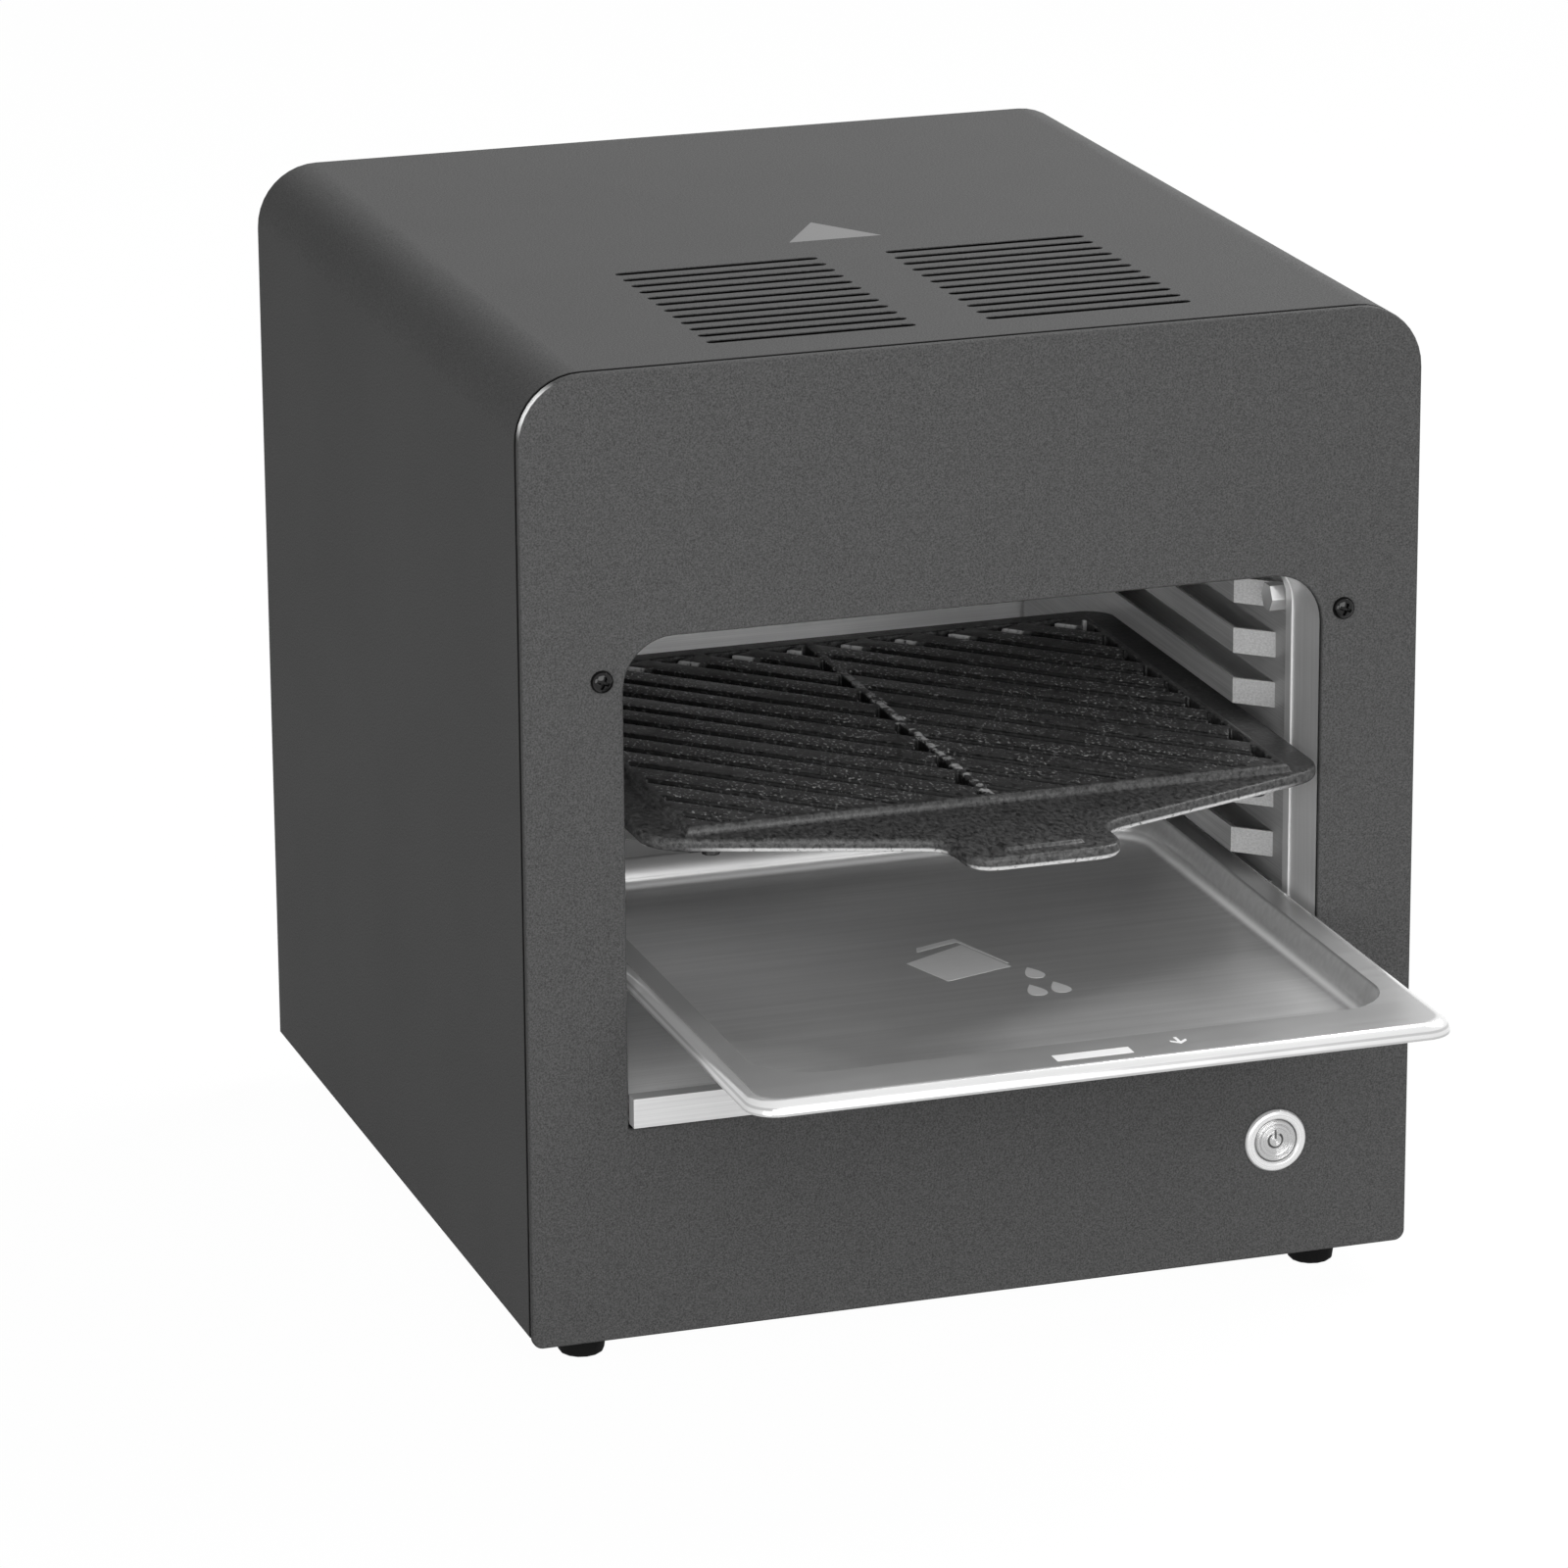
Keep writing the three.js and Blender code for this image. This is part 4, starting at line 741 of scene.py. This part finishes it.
for corner in ("front_left", "front_right", "rear_left", "rear_right"):
    cabinetPieces["stainless_steel"].append(("rack_bolt_" + corner, "polished", 0.35))
    cabinetPieces["rubber"].append(("foot_" + corner, "rubber", 0.4))
for slot, rows in cabinetPieces.items():
    for nodeName, finish, width in rows:
        roundedCopy(nodeName, materials[finish], "cabinet", width * mm)
print("cabinet pieces rounded:", sum(map(len, cabinetPieces.values())))

plate = castCopy("grill_plate", materials["iron"], "plate", castForm)
print("grill plate cast:", len(plate.data.polygons))

# CAD nodes that keep their own mesh get the finish listed for them
ownFinish = {
    "zinc": ["chassis_rail_left", "chassis_rail_right", "heat_shield", "button_nut"],
    "steelX": ["front_baffle"],
    "steelY": ["chamber_wall_left", "chamber_wall_right"],
    "chamber": ["chamber_floor"],
    "ceramic": ["heater_bushing_1", "heater_bushing_2", "heater_bushing_3", "heater_bushing_4", "terminal_block"],
    "fibre": ["side_blanket_left", "side_blanket_right", "top_blanket"],
    "plastic": ["switch_body", "limit_thermostat"],
    "sleeve": ["wire_switch", "wire_heater_left", "wire_heater_right"],
}
for finish, names in ownFinish.items():
    for nodeName in names:
        setMaterial(cadNodes[nodeName], materials[finish])
print("inner pieces finished")

# Drip tray, in millimetres
trayForm = {
    "rear": 57.5, "level": 152.42, "halfWidth": 138.0, "depth": 320.0, "height": 5.5, "rimRun": 5.0,
    "cornerRadius": 12.0, "sideFlange": 13.0, "endFlange": 27.0, "basinRadius": 24.0, "basinDepth": 12.0,
    "wallLean": 2.4, "edgeRadius": 1.4, "bendRadius": 5.0, "gauge": 0.9, "cornerSteps": 20, "arcSteps": 13,
    "edgeSteps": 5, "gleamTurn": 0.75, "gleamSpread": 0.3, "polishRise": 6,
}


# A ring is a rounded rectangle set in from the tray's edges; each quarter has its own corner centre
def trayRings(form, side, end, radius, height):
    steps = form["cornerSteps"]
    quarter = np.repeat(np.arange(4), steps + 1)
    angle = (quarter + np.tile(np.arange(steps + 1) / steps, 4)) * (np.pi / 2)
    signX = np.array([1, -1, -1, 1])[quarter]
    signY = np.array([1, 1, -1, -1])[quarter]
    side, end, radius, height = (np.asarray(value, float)[:, None] for value in (side, end, radius, height))
    halfDepth = form["depth"] / 2
    x = signX * (form["halfWidth"] - side - radius) + radius * np.cos(angle)
    y = signY * (halfDepth - end - radius) + radius * np.sin(angle) + form["rear"] - halfDepth
    z = np.broadcast_to(height + form["level"], x.shape)
    return np.stack([x, y, z], -1) * mm


# One face of the sheet from the basin's floor over the wall and the flange to the rolled rim's foot: quarter arcs at
# the basin's bend, at its edge and along the rim, where the polish rises
def traySkin(form, offset):
    turn = np.linspace(0, np.pi / 2, form["arcSteps"])
    bend = form["bendRadius"] + offset
    run = form["wallLean"] + form["edgeRadius"] + bend * (1 - np.sin(turn))
    top = form["height"] - offset
    low = top - form["basinDepth"] + bend * (1 - np.cos(turn))
    ease = np.linspace(0, np.pi / 2, form["edgeSteps"])[1:]
    reach = form["edgeRadius"] * (1 - np.sin(ease))
    drop = (form["edgeRadius"] - offset) * (1 - np.cos(np.pi / 2 - ease))
    roll = turn[::-1]
    slip = offset + (form["rimRun"] - offset) * (1 - np.cos(roll))
    inward = np.concatenate([run, reach])
    rings = trayRings(form, np.concatenate([form["sideFlange"] - offset + inward, slip]),
                      np.concatenate([form["endFlange"] - offset + inward, slip]),
                      np.concatenate([form["basinRadius"] - run + offset, form["basinRadius"] - reach,
                                      form["cornerRadius"] - slip / 2]),
                      np.concatenate([low, top - drop, top * np.sin(roll)]))
    polish = np.concatenate([np.zeros(len(inward)), np.clip(np.cos(roll) * form["polishRise"], 0, 1)])
    return rings, polish


# Upper and lower faces in one skin. The gleam, a painted highlight along the basin's bend, is a bell about one of
# its turns
def makeTray(form):
    (upper, upperPolish), (lower, lowerPolish) = (traySkin(form, offset) for offset in (0.0, form["gauge"]))
    rings = closeEnds(np.concatenate([upper, lower[::-1]]))
    piece = ringPiece("drip_tray", rings, materials["tray"], "tray")
    turn = np.linspace(0, np.pi / 2, form["arcSteps"])
    bell = np.exp(-((turn - form["gleamTurn"]) / form["gleamSpread"]) ** 2)
    polish = np.concatenate([[0], upperPolish, lowerPolish[::-1], [0]])
    gleam = np.concatenate([[0], bell, np.zeros(len(rings) - len(bell) - 1)])
    for key, values in (("polish", polish), ("gleam", gleam)):
        writeValues(piece, key, values.repeat(rings.shape[1]))
    weld(piece)


# Painted light on the tray: the flange's shade colour is painted shade, the line colour a painted dark reflection on
# the roll and painted shade at the lip, and the gleam colour a painted highlight
trayLook = {
    "dull": (0.1569, 0.1577), "flangeShadeShare": 0.9, "flangeShadeColor": grey(0.36), "rimColor": grey(0.68),
    "lineFoot": (0.1545, 0.1548), "lineTop": (0.1557, 0.1554), "lip": (0.1534, 0.1531), "lineShare": 0.5,
    "lineColor": grey(0.25), "gleamColor": grey(0.95), "gleamMetal": 0.4, "metal": 0.5, "roughness": -0.18,
}


# The tray's steel is brushed across, with painted shade on the flange. Its rolled rim is bright and smooth, with a
# thin darker line painted along the roll as a reflection and at the lip as shade, and a painted highlight along the
# basin's bend
def makeTraySteel(look):
    material = steel("traySheet", (9, 340, 340), finishes["tray"], roughness=0.34, streaks=0.32, clouds=0.22,
                     bump=0.02, metal=look["metal"])
    surface, spot = openMaterial(material)
    polish, gleam = attribute(spot, "polish"), attribute(spot, "gleam")
    height = axesOf(spot)["Z"]
    dull = product(remap(height, *look["dull"]), look["flangeShadeShare"])
    line = gate(look, (height, "lineFoot"), (height, "lineTop"))
    line = product(maths("MAXIMUM", line, remap(height, *look["lip"])), polish, look["lineShare"])
    for mask, color in ((dull, "flangeShadeColor"), (polish, "rimColor"), (line, "lineColor"), (gleam, "gleamColor")):
        overlayColor(surface, mask, look[color])
    feed(surface["Metallic"], maths("SUBTRACT", look["metal"], product(gleam, look["gleamMetal"])))
    moveRoughness(surface, polish, look["roughness"])
    relief = surface["Normal"].links[0].from_node.inputs["Height"]
    feed(relief, product(feeder(relief), maths("SUBTRACT", 1.0, polish, clamp=True)))
    return material


materials["tray"] = makeTraySteel(trayLook)
makeTray(trayForm)
print("drip tray made")


# Push button, in millimetres: a bezel and a cap turned about Y, with a ring and bar sunk into the cap. A profile has
# pairs of radius and height
buttonForm = {
    "x": 123.7, "z": 63.5, "face": -117.5, "turns": 96,
    "bezel": [(8.8, -25), (9.5, -25), (9.5, 0), (12.2, 0), (12.2, 0.35), (12.75, 0.35), (12.75, 1.1), (12.1, 2.05),
              (11.2, 2.4), (9.6, 2.4), (8.8, 1.6), (8.8, -25)],
    "cap": [(0, -4.0), (8.5, -4.0), (8.5, 1.3), (8.0, 1.9), (7.1, 1.9), (5.9, 1.3)],
    "bezelSoft": 0.28, "capSoft": 0.2, "dishSteps": 70, "capSharp": 60.0,
    "markRadius": 2.9, "markWidth": 0.85, "markDepth": 0.3, "markInner": 0.15, "markOuter": 0.1,
    "gap": 0.62, "gapSoft": 0.08, "barTop": 4.1, "barBottom": 0.9,
}


# Each corner of a profile becomes a short curve between points set back along its two sides
def softenProfile(points, reach, steps=4, most=0.45):
    points = np.asarray(points, float)
    before = points[:-2] - points[1:-1]
    after = points[2:] - points[1:-1]
    lengths = [np.linalg.norm(value, axis=1, keepdims=True) for value in (before, after)]
    cut = [np.minimum(reach, most * length) / length for length in lengths]
    start = points[1:-1] + before * cut[0]
    end = points[1:-1] + after * cut[1]
    t = np.linspace(0, 1, steps)[None, :, None]
    bend = (1 - t) ** 2 * start[:, None] + 2 * t * (1 - t) * points[1:-1][:, None] + t ** 2 * end[:, None]
    return np.concatenate([points[:1], bend.reshape(-1, 2), points[-1:]])


def fullTurn(steps):
    return np.linspace(0, 2 * np.pi, steps, endpoint=False)


# Radius and height are swept about an axis along Y, and the height grows towards the front
def sweepProfile(form, radius, height, turns, side=1):
    angle = fullTurn(turns)[None, :]
    x, z = side * form["x"] + radius * np.cos(angle), form["z"] + radius * np.sin(angle)
    return np.stack([x, np.broadcast_to(form["face"] - height, x.shape), z], -1) * mm


# Nought below the range and one above it; between them three times the share's square less twice its cube
def smoothStep(value, low, high):
    share = np.clip((value - low) / (high - low), 0, 1)
    return share * share * (3 - 2 * share)


# Share of the sunk mark's depth: a ring open at the top, and a bar that runs up through the gap
def markShare(form, across, up):
    inner, outer = form["markWidth"] / 2 - form["markInner"], form["markWidth"] / 2 + form["markOuter"]
    ring = 1 - smoothStep(np.abs(np.hypot(across, up) - form["markRadius"]), inner, outer)
    opened = smoothStep(np.abs(np.arctan2(across, up)), form["gap"] - form["gapSoft"], form["gap"] + form["gapSoft"])
    along = np.clip(up, form["barBottom"], form["barTop"])
    bar = 1 - smoothStep(np.hypot(across, up - along), inner, outer)
    return np.maximum(ring * opened, bar)


# The cap's profile goes on level to its centre, and its front sinks where the mark is
def makeButton(form):
    profile = softenProfile(form["bezel"], form["bezelSoft"])
    bezel = sweepProfile(form, profile[:, :1], profile[:, 1:], form["turns"])
    weld(ringPiece("button_bezel", bezel, materials["bezel"], "cabinet"))
    outer = softenProfile(form["cap"], form["capSoft"])
    radius, height = form["cap"][-1]
    inward = np.linspace(radius, 0, form["dishSteps"])[1:]
    profile = np.concatenate([outer, np.stack([inward, np.full(len(inward), height)], -1)])
    cap = sweepProfile(form, profile[:, :1], profile[:, 1:], 2 * form["turns"])
    front = (np.arange(len(cap)) >= len(outer) - 1)[:, None]
    sunk = np.where(front, markShare(form, cap[..., 0] / mm - form["x"], cap[..., 2] / mm - form["z"]), 0)
    cap[..., 1] += sunk * form["markDepth"] * mm
    piece = ringPiece("button_cap", cap, materials["cap"], "button")
    writeValues(piece, "sunk", sunk)
    weld(piece, form["capSharp"])


buttonLook = {
    "centre": [buttonForm[key] * mm for key in ("x", "face", "z")], "markColor": grey(0.12), "markRoughness": 0.2,
}


def makeTurnedSteel(name, color, roughness, metal, lean):
    return makeMaterial(name, "turned", {
        "Centre": buttonLook["centre"], "Color": grey(color), "Roughness": roughness, "Lean": lean,
    }, {"Metallic": metal}, smear=0.03, masks={"Normal": faceNormal})


# The mark's floor is darker and duller than the turned cap
def darkenMark(material, look):
    surface, spot = openMaterial(material)
    sunk = attribute(spot, "sunk")
    overlayColor(surface, sunk, look["markColor"])
    moveRoughness(surface, sunk, look["markRoughness"])


materials["bezel"] = makeTurnedSteel("bezelSteel", color=0.72, roughness=0.25, metal=0.5, lean=0.1)
materials["cap"] = makeTurnedSteel("capSteel", color=0.5, roughness=0.2, metal=0.9, lean=5.0)
darkenMark(materials["cap"], buttonLook)
makeButton(buttonForm)
print("push button made")


# Pan-head screws, in millimetres: a polar grid whose height is a dome less a cross recess
screwForm = {
    "x": 149.0, "z": 277.7, "face": -117.5, "headRadius": 4.4, "headHeight": 3.0, "domeFlat": 2.6, "domeRise": 0.42,
    "topRadius": 3.4, "topSteps": 40, "edgeRadius": 3.5, "edgeSteps": 12, "crossWidth": 1.15, "crossInner": 0.12,
    "crossOuter": 0.08, "crossReach": 2.55, "crossFade": 0.7, "crossDepth": 1.7, "shankRadius": 2.0,
    "shankLength": 9.0, "turns": 96, "tilt": 0.35, "sharp": 50.0,
}


# Dome: a flattened ellipse; the recess is where either arm's width is left, fading out at its reach
def screwHeight(form, radius, angle):
    share = np.clip(radius / form["headRadius"], 0, 1)
    dome = form["headHeight"] * (1 - share ** form["domeFlat"]) ** form["domeRise"]
    across, up = np.abs(radius * np.cos(angle)), np.abs(radius * np.sin(angle))
    half, end = form["crossWidth"] / 2, form["crossReach"]
    inside = 1 - smoothStep(np.minimum(across, up), half - form["crossInner"], half + form["crossOuter"])
    inside = inside * (1 - smoothStep(np.maximum(across, up), end - form["crossFade"], end))
    return dome - form["crossDepth"] * inside


# The head's rings from its middle outwards, then the shank's from under the head to its end
def makeScrew(form, name, side):
    turns = form["turns"]
    radius = np.concatenate([np.linspace(0, form["topRadius"], form["topSteps"]),
                             np.linspace(form["edgeRadius"], form["headRadius"], form["edgeSteps"])])[:, None]
    height = screwHeight(form, radius, fullTurn(turns)[None, :] + form["tilt"])
    shank = [(form["headRadius"], 0.0), (form["shankRadius"], 0.0), (form["shankRadius"], -form["shankLength"]),
             (0.0, -form["shankLength"])]
    shank = np.array(shank)[:, :, None].repeat(turns, 2)
    radius = np.concatenate([np.broadcast_to(radius, height.shape), shank[:, 0]])
    height = np.concatenate([height, shank[:, 1]])
    rings = sweepProfile(form, radius, height, turns, side)
    weld(ringPiece("front_screw_" + name, rings, materials["oxide"], "cabinet"), form["sharp"])


# Heating elements, in millimetres: one tube each, bent in flat turns
heaterForm = {
    "radius": 4.2, "bend": 13.0, "first": 18.0, "z": 318.0, "front": -39.5, "turnBack": 190.5, "tail": 237.5,
    "legs": 4, "turnSteps": 22, "sides": 20,
}


# The path is straight legs joined by half circles; the tube's ring stands square to the path, in its plane and
# along Z
def makeHeater(form, name, side):
    legX = side * (form["first"] + 2 * form["bend"] * np.arange(form["legs"]))
    stops = [np.array([[legX[0], form["tail"]]])]
    turn = np.linspace(0, np.pi, form["turnSteps"])
    for leg in range(form["legs"] - 1):
        way, y = (-1, form["front"]) if leg % 2 == 0 else (1, form["turnBack"])
        across, along = side * form["bend"] * np.cos(turn), way * form["bend"] * np.sin(turn)
        stops.append(np.stack([(legX[leg] + legX[leg + 1]) / 2 - across, y + along], -1))
    stops.append(np.array([[legX[-1], form["tail"]]]))
    path = np.concatenate(stops)
    way = np.gradient(path, axis=0)
    way[0], way[-1] = path[1] - path[0], path[-1] - path[-2]
    way /= np.linalg.norm(way, axis=1, keepdims=True)
    angle = fullTurn(form["sides"])[None, :]
    x = path[:, :1] + form["radius"] * np.cos(angle) * way[:, 1:]
    y = path[:, 1:] - form["radius"] * np.cos(angle) * way[:, :1]
    z = np.broadcast_to(form["z"] + form["radius"] * np.sin(angle), x.shape)
    rings = closeEnds(np.stack([x, y, z], -1) * mm)
    weld(ringPiece("heater_" + name, rings, materials["sheath"], "cabinet"))


for make, form, stage in ((makeScrew, screwForm, "front screws made"), (makeHeater, heaterForm, "heaters made")):
    for name, side in (("left", -1), ("right", 1)):
        make(form, name, side)
    print(stage)


# Flat marks, in millimetres: thin closed plates on the surface that carries them
def makeMark(name, outline, base, thickness):
    count = len(outline)
    points = np.concatenate([np.column_stack([outline, np.full(count, z)]) for z in (base, base + thickness)]) * mm
    faces = gridFaces(2, count).tolist() + [list(range(count))[::-1], list(range(count, 2 * count))]
    piece = collect(name, points, faces, materials["etch"], "tray", (), smooth=False)
    editMesh(piece, turnOutwards)


# A drop hangs from its point: its width swells as the sine of the turn times the half turn's sine
def dropOutline(form, x, y):
    turn = fullTurn(form["dropSteps"])
    swell = np.sin(turn) * np.abs(np.sin(turn / 2)) ** form["dropPower"]
    return np.column_stack([x + form["dropWidth"] / 2 * form["dropFill"] * swell,
                            y - form["dropLength"] * (1 - np.cos(turn)) / 2])


marks = {
    "floor": 145.93, "flange": 157.92, "thickness": 0.06,
    "slice": [(-21.7, -96.7), (-13.6, -121.8), (15.2, -113.0), (5.8, -82.4)],
    "line": [(-13.4, -85.2), (-12.0, -80.4), (5.6, -74.2), (15.9, -108.9), (15.0, -109.2), (5.2, -78.6)],
    "drops": [(20.6, -116.0), (14.4, -135.6), (24.2, -135.2)], "dropLength": 13.5, "dropWidth": 8.2,
    "dropFill": 1.25, "dropPower": 1.3, "dropSteps": 28,
    "flangeBar": [(-18.0, -253.4), (12.0, -253.4), (12.0, -246.8), (-18.0, -246.8)],
    "arrow": [(31.4, -242.6), (31.4, -247.4), (28.8, -245.4), (28.8, -247.0), (32.0, -249.8), (35.2, -247.0),
              (35.2, -245.4), (32.6, -247.4), (32.6, -242.6)],
}
trayMarks = [("traySlice", marks["slice"], "floor"), ("trayLine", marks["line"], "floor"),
             ("flangeBar", marks["flangeBar"], "flange"), ("arrow", marks["arrow"], "flange")]
trayMarks += [(f"trayDrop{i + 1}", dropOutline(marks, *point), "floor") for i, point in enumerate(marks["drops"])]
for name, outline, level in trayMarks:
    makeMark(name, outline, marks[level], marks["thickness"])
print("marks made:", len(trayMarks))

# Studio: a pale floor, a soft sky and three soft lamps
studio = {
    "floorLevel": -0.0003, "floorSize": 14.0, "floorColor": grey(0.45), "floorShare": 0.95, "floorGlow": 1.03,
    "skyLight": 0.24,
    "lamps": [
        ("topLamp", (1.5, 0.6, 1.8), (0.0, 0.0, 0.3), 1.4, 70.0),
        ("frontLamp", (-0.15, -3.0, 1.3), (0.0, 0.0, 0.2), 2.4, 78.0),
        ("leftLamp", (-1.3, -1.5, 0.5), (0.0, 0.0, 0.2), 0.9, 10.0),
    ],
}


# One for the rays that show the white room itself: to the camera, in a gloss or through glass
def clearRays(tree):
    rays = put(tree, "LightPath").outputs
    seen = maths("ADD", rays["Is Camera Ray"], rays["Is Glossy Ray"])
    return maths("ADD", seen, rays["Is Transmission Ray"], clamp=True)


# A plain grey floor that glows for most of the clear rays
def makeFloor(setup):
    half = setup["floorSize"] / 2
    corners = [(-half, -half), (half, -half), (half, half), (-half, half)]
    floor = newPiece("floor", [(x, y, setup["floorLevel"]) for x, y in corners], [(0, 1, 2, 3)])
    material = bpy.data.materials.new("paleFloor")
    material.use_nodes = True
    tree = material.node_tree
    tree.nodes.clear()
    plain = put(tree, "BsdfDiffuse", {"Color": setup["floorColor"]}).outputs[0]
    bright = put(tree, "Emission", {"Color": grey(1.0), "Strength": setup["floorGlow"]}).outputs[0]
    share = product(clearRays(tree), setup["floorShare"])
    mixed = put(tree, "MixShader", {0: share, 1: plain, 2: bright}).outputs[0]
    put(tree, "OutputMaterial", {"Surface": mixed})
    setMaterial(floor, material)


# The sky is white for clear rays and lights the rest at a lower strength
def makeSky(setup):
    world = bpy.data.worlds.new("sky")
    scene.world = world
    world.use_nodes = True
    tree = world.node_tree
    strength = put(tree, "MapRange", {"Value": clearRays(tree), "To Min": setup["skyLight"]}).outputs["Result"]
    background = tree.nodes["Background"].inputs
    feed(background["Color"], grey(1.0))
    feed(background["Strength"], strength)


def makeLamp(name, place, aim, size, power):
    data = bpy.data.lights.new(name, "AREA")
    data.shape = "SQUARE"
    data.size = size
    data.energy = power
    lamp = bpy.data.objects.new(name, data)
    lamp.location = place
    lamp.rotation_euler = (Vector(aim) - Vector(place)).to_track_quat("-Z", "Y").to_euler()
    scene.collection.objects.link(lamp)


makeFloor(studio)
makeSky(studio)
for lamp in studio["lamps"]:
    makeLamp(*lamp)
scene.view_settings.view_transform = "Standard"
print("studio made")
